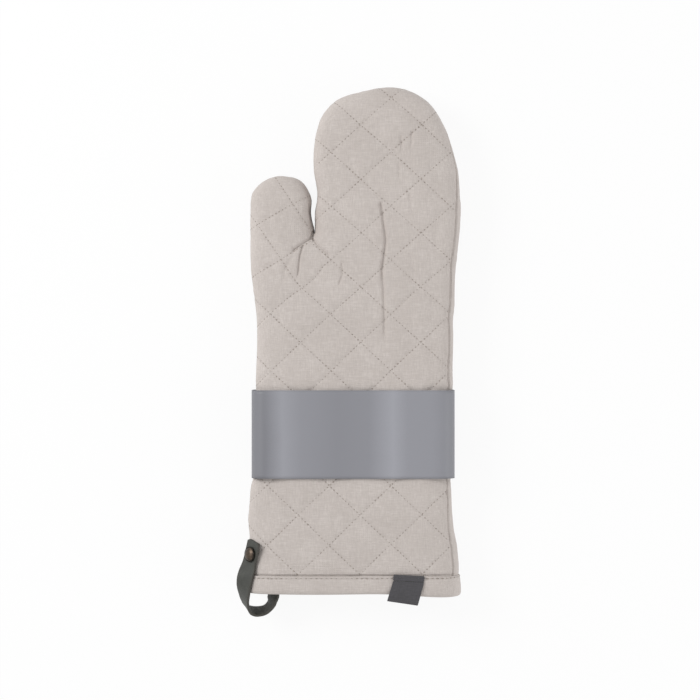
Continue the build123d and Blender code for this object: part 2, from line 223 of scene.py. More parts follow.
def settings(context):
    """The groups of sizes and colours: shape, quilting, trim and finish."""
    scene = context.scene
    return scene.mitt_shape, scene.mitt_quilt, scene.mitt_trim, scene.mitt_finish


def heading(radians):
    return Vector((math.cos(radians), math.sin(radians), 0.0))


def clamp(value):
    return max(0.0, min(1.0, value))


def eased(value):
    """Smooth step from 0 to 1."""
    value = clamp(value)
    return value * value * (3.0 - 2.0 * value)


def bell(distance, half_width):
    """1 at no distance, dying away over the half width."""
    return math.exp(-((distance / half_width) ** 2))


# Slow bends of the outline
WAIST_BEND = 0.250
WAIST_TURN = math.radians(2.5)
FLARE_BEND = 0.120
FINGER_TIP_TURN = math.radians(-165.0)
# From the finger tip to the straight right side: radius and degrees
FINGER_BENDS = [(0.180, -15.0), (0.220, -8.0), (0.220, 7.6)]
CUFF_RIGHT_RUN = 0.059
# Places of four steps in the outline
THUMB_SIDE = 6
SLIT_LEFT = 8
SLIT_RIGHT = 10
FINGER_RIGHT = 13
# Longest straight piece and widest bend of one edge of the rough form
RUN_PIECE = 0.012
BEND_PIECE = math.radians(9.0)


def outline_steps(shape):
    """Straight runs and (radius, turn) bends, clockwise from the left of the cuff."""
    lean = shape.cuff_left_lean
    return [
        (shape.past_hem / math.cos(lean) + shape.cuff_length,),
        (WAIST_BEND, WAIST_TURN),
        (shape.waist_length,),
        (FLARE_BEND, shape.thumb_flare),
        (shape.thumb_flare_length,),
        (FLARE_BEND, lean - WAIST_TURN - shape.thumb_flare),
        (shape.thumb_length,),
        (shape.thumb_radius - shape.slit_room, -math.pi),
        (shape.crotch_depth,),
        (shape.crotch_radius + shape.slit_room, math.pi),
        (shape.finger_side,),
        (shape.finger_radius, FINGER_TIP_TURN),
        *((radius, math.radians(degrees)) for radius, degrees in FINGER_BENDS),
        (shape.palm_side,),
        (WAIST_BEND, shape.cuff_right_flare),
        (CUFF_RIGHT_RUN + shape.past_hem,),
    ]


def outline_stations(shape, inset):
    """Every step of the outline moved inward: start point, heading, run or radius, turn."""
    turn_now = math.pi / 2 - shape.cuff_left_lean
    x = shape.cuff_left_x - shape.past_hem * math.tan(shape.cuff_left_lean)
    point = Vector((x, shape.hem_y - shape.past_hem, 0.0)) + heading(turn_now - math.pi / 2) * inset
    stations = []
    for step in outline_steps(shape):
        if len(step) == 1:
            stations.append((point.copy(), turn_now, step[0], 0.0))
            point = point + heading(turn_now) * step[0]
            continue
        side = math.copysign(1.0, step[1])
        radius = step[0] + side * inset
        stations.append((point.copy(), turn_now, radius, step[1]))
        centre = point + heading(turn_now + side * math.pi / 2) * radius
        turn_now += step[1]
        point = centre - heading(turn_now + side * math.pi / 2) * radius
    stations.append((point.copy(), turn_now, 0.0, 0.0))
    return stations


def grow(bm, last, move):
    """Lengthen a line of edges by one and return its new end."""
    last = bmesh.ops.extrude_vert_indiv(bm, verts=[last])["verts"][0]
    last.co += move
    return last


def bend(bm, last, centre, axis, turn, steps):
    """Lengthen a line of edges by an arc and return its new end."""
    spun = bmesh.ops.spin(bm, geom=[last], cent=centre, axis=axis, angle=turn, steps=steps)
    return [part for part in spun["geom_last"] if isinstance(part, bmesh.types.BMVert)][0]


def outline_loop(bm, shape, inset, height):
    """Draw the outline as a closed loop of edges by extruding and spinning one vertex."""
    before = set(bm.edges)
    stations = outline_stations(shape, inset)
    first = bmesh.ops.create_vert(bm, co=stations[0][0] + Vector((0, 0, height)))["vert"][0]
    last = first
    for _, turn_now, size, turn in stations[:-1]:
        if turn == 0.0:
            pieces = max(1, round(size / RUN_PIECE))
            for _ in range(pieces):
                last = grow(bm, last, heading(turn_now) * (size / pieces))
            continue
        side = math.copysign(1.0, turn)
        centre = last.co + heading(turn_now + side * math.pi / 2) * size
        last = bend(bm, last, centre, (0, 0, 1), turn, max(2, round(abs(turn) / BEND_PIECE)))
    bm.edges.new((last, first))
    return [edge for edge in bm.edges if edge not in before]


def section_levels(shape, inset, side_inset):
    """Plan inset and height of each level round the padded side, table to crown."""
    levels = []
    for degrees in range(-90, 91, 15):
        swing = math.radians(degrees)
        across = shape.edge_radius - (shape.edge_radius - side_inset) * math.cos(swing)
        levels.append((across, shape.mid_z + (shape.edge_radius - inset) * math.sin(swing)))
    top = shape.mid_z + shape.edge_radius - inset
    levels.append((shape.edge_radius + shape.crown_in, top + shape.crown_rise))
    return levels


def padded_form(bm, shape, inset, side_inset):
    """Closed form of the whole mitt: outline loops bridged from the table up to the crown."""
    levels = section_levels(shape, inset, side_inset)
    loops = [outline_loop(bm, shape, across, z) for across, z in levels]
    for lower, upper in zip(loops, loops[1:]):
        bmesh.ops.bridge_loops(bm, edges=lower + upper)
    bmesh.ops.contextual_create(bm, geom=loops[0])
    bmesh.ops.contextual_create(bm, geom=loops[-1])
    bmesh.ops.recalc_face_normals(bm, faces=bm.faces)


def table_height(shape, trim, y):
    """Underside of the mitt: on the table, but lifted at the hem and below the band's travel."""
    ramp = 0.004
    margin = 0.002
    hem_end = shape.hem_y + trim.binding_width + margin
    band_start = trim.band_low - margin
    band_end = trim.band_low + trim.band_height + trim.band_slide + margin
    hem_lift = 1.0 - (y - hem_end) / ramp
    band_lift = min((y - band_start) / ramp + 1.0, 1.0 - (y - band_end) / ramp)
    return shape.relief * clamp(max(hem_lift, band_lift))


# The thumb's turned cloth: blend beside the slit and below it, heights where turn and fold set in
BLEND_AT_SLIT = 0.001
BLEND_BELOW = 0.013
BLEND_RUN = 0.037
TURN_FROM = 0.030
TURN_RUN = 0.030
FOLD_FROM = 0.055
FOLD_RUN = 0.015
# The sewn lines wander in waves of this scale, and widen to the left below the waist
WANDER_SCALE = 24.0
WANDER_LAYER = 0.4
WIDEN_FROM = -0.030
WIDEN_RUN = 0.040
# The lower, the fuller is each pillow between the sewn lines
PILLOW_POWER = 0.55


def on_thumb(quilt, x, y):
    """1 on the thumb, 0 on the palm, with a blend that widens below the crotch."""
    blend = BLEND_AT_SLIT + BLEND_BELOW * eased((quilt.crotch_y - y) / BLEND_RUN)
    return eased((quilt.crotch_x + blend - x) / (2.0 * blend)) * eased((y - TURN_FROM) / TURN_RUN)


def thumb_fold(quilt, x, y):
    """1 in the fold beside the thumb, where its turned cloth meets the palm's."""
    thumb = on_thumb(quilt, x, y)
    return 4.0 * thumb * (1.0 - thumb) * eased((y - FOLD_FROM) / FOLD_RUN)


def stray(quilt, x, y):
    """Drift of the sewn lines from a perfect lattice: they wander, stretch, and turn with the thumb."""
    drift = noise.noise_vector(Vector((x * WANDER_SCALE, y * WANDER_SCALE, WANDER_LAYER))) * quilt.wander
    thumb = on_thumb(quilt, x, y)
    drift.x += quilt.cuff_wider * (quilt.centre_x - x) * eased((WIDEN_FROM - y) / WIDEN_RUN)
    drift.y += quilt.cuff_longer * max(0.0, quilt.cuff_from - y)
    drift.y += quilt.tip_shorter * max(0.0, y - quilt.tip_from) * (1.0 - thumb)
    if thumb > 0.0:
        arm_x = x - quilt.thumb_x
        arm_y = y - quilt.thumb_y
        turned = heading(quilt.thumb_twist)
        drift.x += (arm_x * turned.x - arm_y * turned.y - arm_x) * thumb
        drift.y += (arm_x * turned.y + arm_y * turned.x - arm_y) * thumb
    return drift.x, drift.y


def quilt_place(quilt, x, y):
    """Position in the lattice: fraction across a diamond along both families of lines."""
    stray_x, stray_y = stray(quilt, x, y)
    u = (x + stray_x - quilt.centre_x) / quilt.diamond_width
    v = (y + stray_y - quilt.centre_y) / quilt.diamond_height
    return u + v, u - v


def line_spacing(quilt):
    return 1.0 / math.hypot(1.0 / quilt.diamond_width, 1.0 / quilt.diamond_height)


def line_distance(quilt, x, y):
    """Plan distance to the nearest quilting line."""
    spacing = line_spacing(quilt)
    return min(abs(value - round(value)) * spacing for value in quilt_place(quilt, x, y))


def puff(quilt, x, y):
    """Pillow of one diamond: 0 on the sewn lines, 1 in its middle."""
    across, along = quilt_place(quilt, x, y)
    return (abs(math.sin(math.pi * across)) * abs(math.sin(math.pi * along))) ** PILLOW_POWER


# The side seam starts to sink here on its way to the finger tip
SINK_FROM = 0.070
SINK_RUN = 0.090


def seam_normal(shape):
    """Plane of the side seam: a point on it and its normal, which points to the front."""
    stations = outline_stations(shape, 0.0)
    left_x = stations[THUMB_SIDE][0].x
    right_x = stations[FINGER_RIGHT][0].x
    slope = (shape.seam_right - shape.seam_left) / (right_x - left_x)
    return Vector((left_x, 0.0, shape.seam_left)), Vector((-slope, 0.0, 1.0)).normalized()


def seam_drop(shape, y):
    """How far the side seam lies below its plane here."""
    return shape.seam_sink * eased((y - SINK_FROM) / SINK_RUN)


def seam_distance(shape, seam, place):
    """Height above the side seam, measured square to its plane."""
    origin, normal = seam
    return (place - origin).dot(normal) + seam_drop(shape, place.y) * normal.z


def close_slit(mesh, shape):
    """Lean the thumb over to the fingers, until the slit between them narrows to a crease."""
    lean_width = 0.022
    fade_below = 0.016
    fade_above = 0.024
    stations = outline_stations(shape, 0.0)
    left = stations[SLIT_LEFT][0]
    right_x = stations[SLIT_RIGHT][0].x
    open_width = right_x - left.x
    for vertex in mesh.vertices:
        place = vertex.co
        if not left.x - lean_width < place.x < right_x:
            continue
        if place.x > left.x:
            reach = (right_x - place.x) / open_width
        else:
            reach = eased((place.x - left.x + lean_width) / lean_width)
        down = clamp(shape.slit_closing * (left.y - place.y) / shape.crotch_depth)
        gap = shape.slit_gap * (1.0 - down) - shape.slit_overlap * down
        fade_low = clamp(1.0 + (place.y - left.y + shape.crotch_depth) / fade_below)
        fade_high = clamp((left.y + fade_above - place.y) / fade_above)
        place.x += (open_width - gap) * reach * fade_low * fade_high


def in_scene(name, content):
    """A new object in the scene that holds a mesh, a curve, a light or a camera."""
    holder = bpy.data.objects.new(name, content)
    bpy.context.scene.collection.objects.link(holder)
    return holder


def new_object(name, bm):
    mesh = bpy.data.meshes.new(name)
    bm.to_mesh(mesh)
    bm.free()
    mesh.shade_smooth()
    return in_scene(name, mesh)


def evaluated_copy(piece, name):
    """Mesh of a piece with its modifiers applied, as a new object; the old one is removed."""
    graph = bpy.context.evaluated_depsgraph_get()
    mesh = bpy.data.meshes.new_from_object(piece.evaluated_get(graph))
    mesh.name = name
    bpy.data.objects.remove(piece)
    mesh.shade_smooth()
    return in_scene(name, mesh)


def modify(piece, name, kind, **values):
    """Add a modifier and set its values."""
    modifier = piece.modifiers.new(name, kind)
    for key, value in values.items():
        setattr(modifier, key, value)


def thicken(piece, name, thickness, offset=0.0):
    """Give a sheet its thickness: about its middle, or inward from its face at an offset of -1."""
    modify(piece, name, "SOLIDIFY", thickness=thickness, offset=offset)


def round_edges(piece, name, width, segments):
    modify(piece, name, "BEVEL", width=width, segments=segments, limit_method="ANGLE")


def make_finer(piece):
    modify(piece, "finer", "SUBSURF", levels=1, render_levels=1)


def dress(piece, body, slot, nodes, *finishes):
    """Give a piece its finishes, hang it on its body and hide the nodes that it stands for; the slot is not
    used.
    """
    for finish in finishes:
        piece.data.materials.append(finish)
    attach(piece, body)
    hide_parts(*nodes)


def cut_plies(bm, shape):
    """Cut the cloth off at the plies' raw edge inside the binding."""
    place = Vector((0.0, shape.hem_y + shape.raw_edge, 0.0))
    everything = bm.verts[:] + bm.edges[:] + bm.faces[:]
    bmesh.ops.bisect_plane(bm, geom=everything, plane_co=place, plane_no=(0, -1, 0), clear_outer=True)


def remeshed_form(shape, inset, side_inset, voxel, name):
    bm = bmesh.new()
    padded_form(bm, shape, inset, side_inset)
    rough = new_object(name + "_rough", bm)
    modify(rough, "even cloth", "REMESH", mode="VOXEL", voxel_size=voxel, use_smooth_shade=True)
    return evaluated_copy(rough, name)


AIR_FRAMES = 20


def inflate(piece, sewn, cap):
    """Blow the cloth out between its sewn lines and keep the moved points, capped."""
    group = piece.vertex_groups.new(name="sewn")
    for index, weight in enumerate(sewn):
        if weight > 0.0:
            group.add([index], weight, "REPLACE")
    cloth = piece.modifiers.new("air", "CLOTH")
    fabric = cloth.settings
    fabric.quality = 4
    fabric.mass = 0.3
    fabric.tension_stiffness = 12.0
    fabric.compression_stiffness = 12.0
    fabric.shear_stiffness = 4.0
    fabric.bending_stiffness = 0.4
    fabric.vertex_group_mass = group.name
    fabric.use_pressure = True
    fabric.uniform_pressure_force = 4.0
    fabric.effector_weights.gravity = 0.0
    cloth.point_cache.frame_start = 1
    cloth.point_cache.frame_end = AIR_FRAMES
    scene = bpy.context.scene
    for number in range(1, AIR_FRAMES + 1):
        scene.frame_set(number)
    graph = bpy.context.evaluated_depsgraph_get()
    blown = piece.evaluated_get(graph).to_mesh()
    for vertex, moved in zip(piece.data.vertices, blown.vertices):
        shift = moved.co - vertex.co
        if shift.length > cap:
            shift = shift.normalized() * cap
        vertex.co += shift
    piece.evaluated_get(graph).to_mesh_clear()
    piece.modifiers.remove(cloth)
    piece.vertex_groups.remove(group)
    scene.frame_set(1)


def segment_distance(x, y, start, end):
    """Distance to a straight run, and how far along it the nearest point lies."""
    along = end - start
    point = Vector((x, y)) - start
    part = clamp(point.dot(along) / along.length_squared)
    return (point - along * part).length, part


MILLIMETRE = 0.001


def in_metres(path):
    return [Vector((x * MILLIMETRE, y * MILLIMETRE)) for x, y in path]


# Soft creases seen in the cloth: path in millimetres, depth and half width
CREASES = [
    ([(21.1, 101.6), (22.8, 92.5), (24.9, 75.4), (23.6, 64.0)], 1.9, 1.3),
    ([(24.2, 70.0), (22.3, 55.0), (22.7, 46.0)], 1.9, 1.2),
    ([(22.4, 56.0), (23.4, 41.4), (24.4, 4.0)], 1.4, 1.3),
    ([(35.2, 148.0), (35.9, 134.0)], 0.9, 1.1),
    ([(42.7, 150.0), (42.1, 136.0)], 0.9, 1.1),
    ([(33.5, 129.0), (34.2, 115.0)], 0.6, 1.1),
    ([(41.0, 109.0), (42.4, 92.0)], 0.6, 1.2),
    ([(-24.1, 83.0), (-26.6, 76.6), (-31.7, 73.2), (-39.7, 67.5)], 1.7, 0.9),
    ([(-31.0, 74.0), (-33.4, 65.2), (-35.3, 48.5)], 1.5, 0.8),
    ([(-26.0, 77.5), (-20.3, 70.9), (-12.0, 64.0)], 1.3, 0.8),
    ([(-5.0, 61.0), (-4.3, 52.7), (-7.6, 43.0)], 0.9, 1.1),
    ([(-37.5, 65.5), (-43.0, 56.5), (-45.4, 45.0)], 0.6, 1.5),
    ([(41.1, 67.0), (43.0, 60.0), (45.0, 51.0)], 0.5, 1.3),
    ([(-30.5, 113.0), (-28.0, 104.0), (-26.6, 92.0), (-25.4, 82.0)], 0.8, 1.2),
]

# Share of its first and last run over which a crease fades
CREASE_FADE_IN = 0.15
CREASE_FADE_OUT = 0.3
# Half widths past which a crease is no longer felt
CREASE_ROOM = 2.5

# Pulls on the outline: path in millimetres, reach, move to the right and up
PULLS = [
    ([(76.0, 132.0), (77.0, 100.0), (72.0, 32.0)], 17.0, 1.8, 0.0),
    ([(70.5, 12.0), (70.0, -22.0)], 12.0, 1.0, 0.0),
    ([(-23.0, 142.0), (-23.5, 124.0)], 12.0, -0.9, 0.0),
    ([(-8.0, 170.0), (-15.0, 160.0)], 22.0, -3.1, 1.9),
    ([(32.0, 178.0), (46.0, 167.0)], 22.0, 1.6, 1.3),
    ([(-48.0, 119.0), (-36.0, 119.0)], 16.0, 1.0, 3.5),
    ([(-33.0, 115.0), (-29.0, 106.0)], 13.0, 2.9, 2.0),
    ([(-64.0, 109.0), (-61.0, 114.0)], 11.0, -1.5, 0.8),
    ([(-66.5, -96.0), (-69.0, -115.0)], 13.5, -2.0, 0.0),
    ([(73.5, -146.0), (72.5, -135.0)], 14.0, 1.5, 0.0),
    ([(-67.0, 52.0), (-65.0, -24.0)], 12.0, -0.8, 0.0),
]


def pull_outline(mesh):
    """Shape the plain outline a little, as a hand pulls a real mitt straight."""
    runs = []
    for path, reach, right, up in PULLS:
        points = in_metres(path)
        move = Vector((right, up, 0.0)) * MILLIMETRE
        runs.append((list(zip(points, points[1:])), reach * MILLIMETRE, move))
    for vertex in mesh.vertices:
        x, y = vertex.co.x, vertex.co.y
        for pairs, reach, move in runs:
            near = min(segment_distance(x, y, start, end)[0] for start, end in pairs)
            if near < reach:
                vertex.co += move * (1.0 - (near / reach) ** 2) ** 2


def crease_runs():
    """Every straight run of the creases: ends, depth, half width and which ends fade out."""
    runs = []
    for path, depth, half_width in CREASES:
        points = in_metres(path)
        for number, (start, end) in enumerate(zip(points, points[1:])):
            fades = (number == 0, number == len(points) - 2)
            runs.append((start, end, depth * MILLIMETRE, half_width * MILLIMETRE, fades))
    return runs


def crease_depth(runs, x, y):
    """How far the soft creases push the cloth in at this place."""
    deepest = 0.0
    for start, end, depth, half_width, fades in runs:
        room = CREASE_ROOM * half_width
        if not min(start.x, end.x) - room < x < max(start.x, end.x) + room:
            continue
        if not min(start.y, end.y) - room < y < max(start.y, end.y) + room:
            continue
        distance, part = segment_distance(x, y, start, end)
        fade = 1.0
        if fades[0]:
            fade = min(fade, part / CREASE_FADE_IN)
        if fades[1]:
            fade = min(fade, (1.0 - part) / CREASE_FADE_OUT)
        deepest = max(deepest, depth * fade * bell(distance, half_width))
    return deepest


# Quilting and side seam stop this far above the hem
SEWN_ABOVE_HEM = 0.014
# Cloth of the covers: thickness, share of the puff that the air leaves to do, small rumples and their scale
COVER_CLOTH = 0.0009
AFTER_AIR = 0.4
RUMPLE = 0.00035
RUMPLE_SCALE = 55.0
# Small gathers beside the sewn lines: reach, scales of the coarse and the fine ones, share of the fine ones
GATHER_REACH = 0.006
GATHER_SCALE = 330.0
FINE_GATHER_SCALE = 620.0
FINE_GATHER = 0.6
# Most that the air may move the cloth, as a share of the draw-in
AIR_CAP = 0.9
# Hold on the cloth while the air blows: at a sewn line, how soon it slackens beside it, and on the sides
LINE_HOLD = 1.6
LINE_SLACK = 0.0012
SIDE_HOLD = 1.3
SIDE_SLACK = 2.0
# Vertices snap to the sewn lines where the cloth faces up or down by more than this, and how soon fully
SNAP_FROM = 0.3
SNAP_GAIN = 3.0
# Puff on cloth that faces up or down: gain, start, least share on steep sides, share in the thumb's fold
FACING_GAIN = 2.0
FACING_START = 0.3
LEAST_PUFF = 0.25
FOLD_PUFF = 0.5
# The mesh is made finer within these reaches of seam and tuck, and where a crease is deeper than this
FINE_BY_SEAM = 2.2
FINE_BY_TUCK = 3.0
FINE_CREASE = 0.00002
# The rounded sides fill out above the strap, up to this share of the half height
FULL_FROM = -0.122
FULL_RUN = 0.022
FULL_HEIGHT = 0.93
# The seam grows shallow near the finger tip, by this share
SHALLOW_FROM = 0.140
SHALLOW_RUN = 0.030
SHALLOW_SHARE = 0.7
# Dent under the edge of the binding: depth, half width, unevenness and its scale, least share on the sides
TUCK = 0.0008
TUCK_WIDTH = 0.0006
TUCK_CHANGE = 0.5
TUCK_SCALE = 45.0
LEAST_TUCK = 0.1
# Dents under the edges of the band: depth and half width
BAND_DENT = 0.0008
BAND_DENT_WIDTH = 0.0022


class MITT_OT_covers(bpy.types.Operator):
    """Padded, quilted front and back panels of the mitt"""

    bl_idname = "mitt.covers"
    bl_label = "Quilted covers"

    def execute(self, context):
        shape, quilt, trim, _ = settings(context)
        cover = remeshed_form(shape, quilt.draw_in, quilt.side_draw_in, shape.voxel, "cover")
        close_slit(cover.data, shape)
        pull_outline(cover.data)
        self.snap_to_lines(cover, quilt, shape.voxel)
        self.settle(cover, shape, trim, quilt.draw_in)
        seam = seam_normal(shape)
        sewn = [self.sewn_weight(vertex, shape, quilt, seam) for vertex in cover.data.vertices]
        inflate(cover, sewn, quilt.draw_in * AIR_CAP)
        make_finer(cover)
        cover = evaluated_copy(cover, "cover")
        self.refine(cover, shape, quilt, trim)
        self.sew(cover, shape, quilt, trim)
        self.settle(cover, shape, trim, 0.0)
        self.split(context, cover, "front", True)
        self.split(context, cover, "back", False)
        bpy.data.objects.remove(cover)
        return {"FINISHED"}

    def snap_to_lines(self, cover, quilt, voxel):
        """Pull the vertices nearest to a sewn line onto it, so that the line runs clean on the flats."""
        spacing = line_spacing(quilt)
        for vertex in cover.data.vertices:
            facing = clamp((abs(vertex.normal.z) - SNAP_FROM) * SNAP_GAIN)
            facing *= 1.0 - thumb_fold(quilt, vertex.co.x, vertex.co.y)
            snapped = []
            for value in quilt_place(quilt, vertex.co.x, vertex.co.y):
                past_line = value - round(value)
                near = abs(past_line) * spacing < voxel / 2
                snapped.append(value - past_line * facing if near else value)
            across, along = snapped
            stray_x, stray_y = stray(quilt, vertex.co.x, vertex.co.y)
            vertex.co.x = quilt.centre_x + (across + along) / 2 * quilt.diamond_width - stray_x
            vertex.co.y = quilt.centre_y + (across - along) / 2 * quilt.diamond_height - stray_y

    def settle(self, cover, shape, trim, inset):
        for vertex in cover.data.vertices:
            vertex.co.z = max(vertex.co.z, table_height(shape, trim, vertex.co.y) + inset)

    def refine(self, cover, shape, quilt, trim):
        """Divide the mesh where a soft crease, the side seam or the binding's edge runs."""
        side_seam = seam_normal(shape)
        runs = crease_runs()
        binding_edge = shape.hem_y + trim.binding_width + trim.binding_rise
        bm = bmesh.new()
        bm.from_mesh(cover.data)
        fine = []
        for edge in bm.edges:
            middle = (edge.verts[0].co + edge.verts[1].co) / 2
            on_seam = abs(seam_distance(shape, side_seam, middle)) < FINE_BY_SEAM * quilt.seam_width
            on_hem = abs(middle.y - binding_edge) < FINE_BY_TUCK * TUCK_WIDTH
            on_crease = middle.z > shape.mid_z and crease_depth(runs, middle.x, middle.y) > FINE_CREASE
            if on_seam or on_hem or on_crease:
                fine.append(edge)
        bmesh.ops.subdivide_edges(bm, edges=fine, cuts=2, use_grid_fill=True)
        bm.to_mesh(cover.data)
        bm.free()
        cover.data.shade_smooth()

    def sewn_weight(self, vertex, shape, quilt, seam):
        from_seam = abs(seam_distance(shape, seam, vertex.co))
        near = min(line_distance(quilt, vertex.co.x, vertex.co.y), from_seam)
        if vertex.co.y < shape.hem_y + SEWN_ABOVE_HEM:
            near = 0.0
        held_side = SIDE_HOLD - SIDE_SLACK * abs(vertex.normal.z)
        return clamp(max(LINE_HOLD - near / LINE_SLACK, held_side))

    def sew(self, cover, shape, quilt, trim):
        """Puffs, stitch grooves, puckers, seam valley and creases, pushed along the normals."""
        side_seam = seam_normal(shape)
        runs = crease_runs()
        binding_edge = shape.hem_y + trim.binding_width + trim.binding_rise
        band_edges = (trim.band_low, trim.band_low + trim.band_height)
        swell = AFTER_AIR
        shifts = []
        for vertex in cover.data.vertices:
            place = vertex.co
            near = line_distance(quilt, place.x, place.y)
            pillow = puff(quilt, place.x, place.y)
            calm = 1.0 - thumb_fold(quilt, place.x, place.y)
            flat = max(LEAST_PUFF, min(1.0, abs(vertex.normal.z) * FACING_GAIN - FACING_START))
            rise = quilt.draw_in * swell * flat * (pillow * calm + FOLD_PUFF * (1.0 - calm))
            rise -= quilt.groove * flat * calm * bell(near, quilt.groove_width)
            swing = min(1.0, abs(place.z - shape.mid_z) / (FULL_HEIGHT * shape.edge_radius)) ** 2
            rise += shape.shoulder * 4.0 * swing * (1.0 - swing) * eased((place.y - FULL_FROM) / FULL_RUN)
            gather = noise.noise(place * GATHER_SCALE)
            gather += FINE_GATHER * noise.noise(place * FINE_GATHER_SCALE)
            rise += quilt.pucker * gather * math.exp(-near / GATHER_REACH)
            rise += RUMPLE * noise.noise(place * RUMPLE_SCALE)
            shallow = 1.0 - SHALLOW_SHARE * eased((place.y - SHALLOW_FROM) / SHALLOW_RUN)
            from_seam = seam_distance(shape, side_seam, place)
            rise -= quilt.seam_depth * shallow * bell(from_seam, quilt.seam_width)
            tuck = TUCK * (1.0 + TUCK_CHANGE * noise.noise(place * TUCK_SCALE))
            tuck *= max(LEAST_TUCK, vertex.normal.z)
            rise -= tuck * bell(place.y - binding_edge - TUCK_WIDTH / 2, TUCK_WIDTH)
            if place.z > shape.mid_z:
                rise -= crease_depth(runs, place.x, place.y)
                for edge in band_edges:
                    rise -= BAND_DENT * (1.0 - pillow) * bell(place.y - edge, BAND_DENT_WIDTH)
            shifts.append(vertex.normal * rise)
        for vertex, shift in zip(cover.data.vertices, shifts):
            vertex.co += shift

    def split(self, context, cover, side, front):
        """Cut one panel out of the whole cover along the side seam, which sinks toward the finger tip."""
        shape, _, _, finish = settings(context)
        origin, normal = seam_normal(shape)
        bm = bmesh.new()
        bm.from_mesh(cover.data)
        cut_plies(bm, shape)
        for vertex in bm.verts:
            vertex.co.z += seam_drop(shape, vertex.co.y)
        everything = bm.verts[:] + bm.edges[:] + bm.faces[:]
        bmesh.ops.bisect_plane(
            bm, geom=everything, plane_co=origin, plane_no=normal, clear_inner=front, clear_outer=not front
        )
        for vertex in bm.verts:
            vertex.co.z -= seam_drop(shape, vertex.co.y)
        panel = new_object(side + "_cover", bm)
        thicken(panel, "cloth", COVER_CLOTH, -1.0)
        dress(panel, "mitt", "linen", (side + "_shell", side + "_wadding"), slub_linen(finish))


class MITT_OT_lining(bpy.types.Operator):
    """Inner cloth of the hand and thumb, quilted through with the covers"""

    bl_idname = "mitt.lining"
    bl_label = "Lining"

    def execute(self, context):
        shape, quilt, trim, finish = settings(context)
        cloth = 0.0007
        puff_depth = 0.0006
        rumple = 0.0003
        rumple_scale = 70.0
        lining_voxel = 0.0032
        inset = shape.wall - puff_depth
        lining = remeshed_form(shape, inset, inset, lining_voxel, "lining_rough")
        normals = [vertex.normal.copy() for vertex in lining.data.vertices]
        for vertex, normal in zip(lining.data.vertices, normals):
            place = vertex.co
            place.z = max(place.z, table_height(shape, trim, place.y) + inset)
            rise = puff_depth * puff(quilt, place.x, place.y) + rumple * noise.noise(place * rumple_scale)
            vertex.co -= normal * rise
        bm = bmesh.new()
        bm.from_mesh(lining.data)
        bpy.data.objects.remove(lining)
        cut_plies(bm, shape)
        bmesh.ops.reverse_faces(bm, faces=bm.faces)
        lining = new_object("hand_lining", bm)
        thicken(lining, "cloth", cloth, -1.0)
        dress(lining, "mitt", "lining", ("front_lining", "back_lining"), cotton_lining(finish))
        return {"FINISHED"}


def cuff_sides(shape, y, inset):
    """Left and right side of the cuff at y, moved inward by inset."""
    stations = outline_stations(shape, inset)
    left = stations[0][0]
    right = stations[-1][0]
    left_x = left.x + (y - left.y) * math.tan(shape.cuff_left_lean)
    right_x = right.x + (y - right.y) / math.tan(stations[-1][1])
    return left_x, right_x


def cuff_ring(bm, shape, y, inset, low):
    """Closed loop round the cuff at y: flat top and underside joined by two rounded sides."""
    before = set(bm.edges)
    left_x, right_x = cuff_sides(shape, y, inset)
    radius = shape.edge_radius - inset
    top = shape.mid_z + radius
    run = right_x - left_x - 2 * radius
    pieces = 44
    side_pieces = 26
    crown_half = 0.004
    first = bmesh.ops.create_vert(bm, co=(left_x + radius, y, top))["vert"][0]
    last = first
    for step in (run / pieces, -run / pieces):
        for _ in range(pieces):
            last = grow(bm, last, Vector())
            last.co.x += step
        last = bend(bm, last, (last.co.x, y, shape.mid_z), (0, 1, 0), math.pi, side_pieces)
    bmesh.ops.pointmerge(bm, verts=[first, last], merge_co=first.co)
    ring = [edge for edge in bm.edges if edge not in before]
    for vertex in {vertex for edge in ring for vertex in edge.verts}:
        inside = min(vertex.co.x - left_x, right_x - vertex.co.x) - radius
        if vertex.co.z > shape.mid_z:
            vertex.co.z += shape.crown_rise * eased((inside + crown_half) / (2 * crown_half))
        vertex.co.z = max(vertex.co.z, low)
    return ring


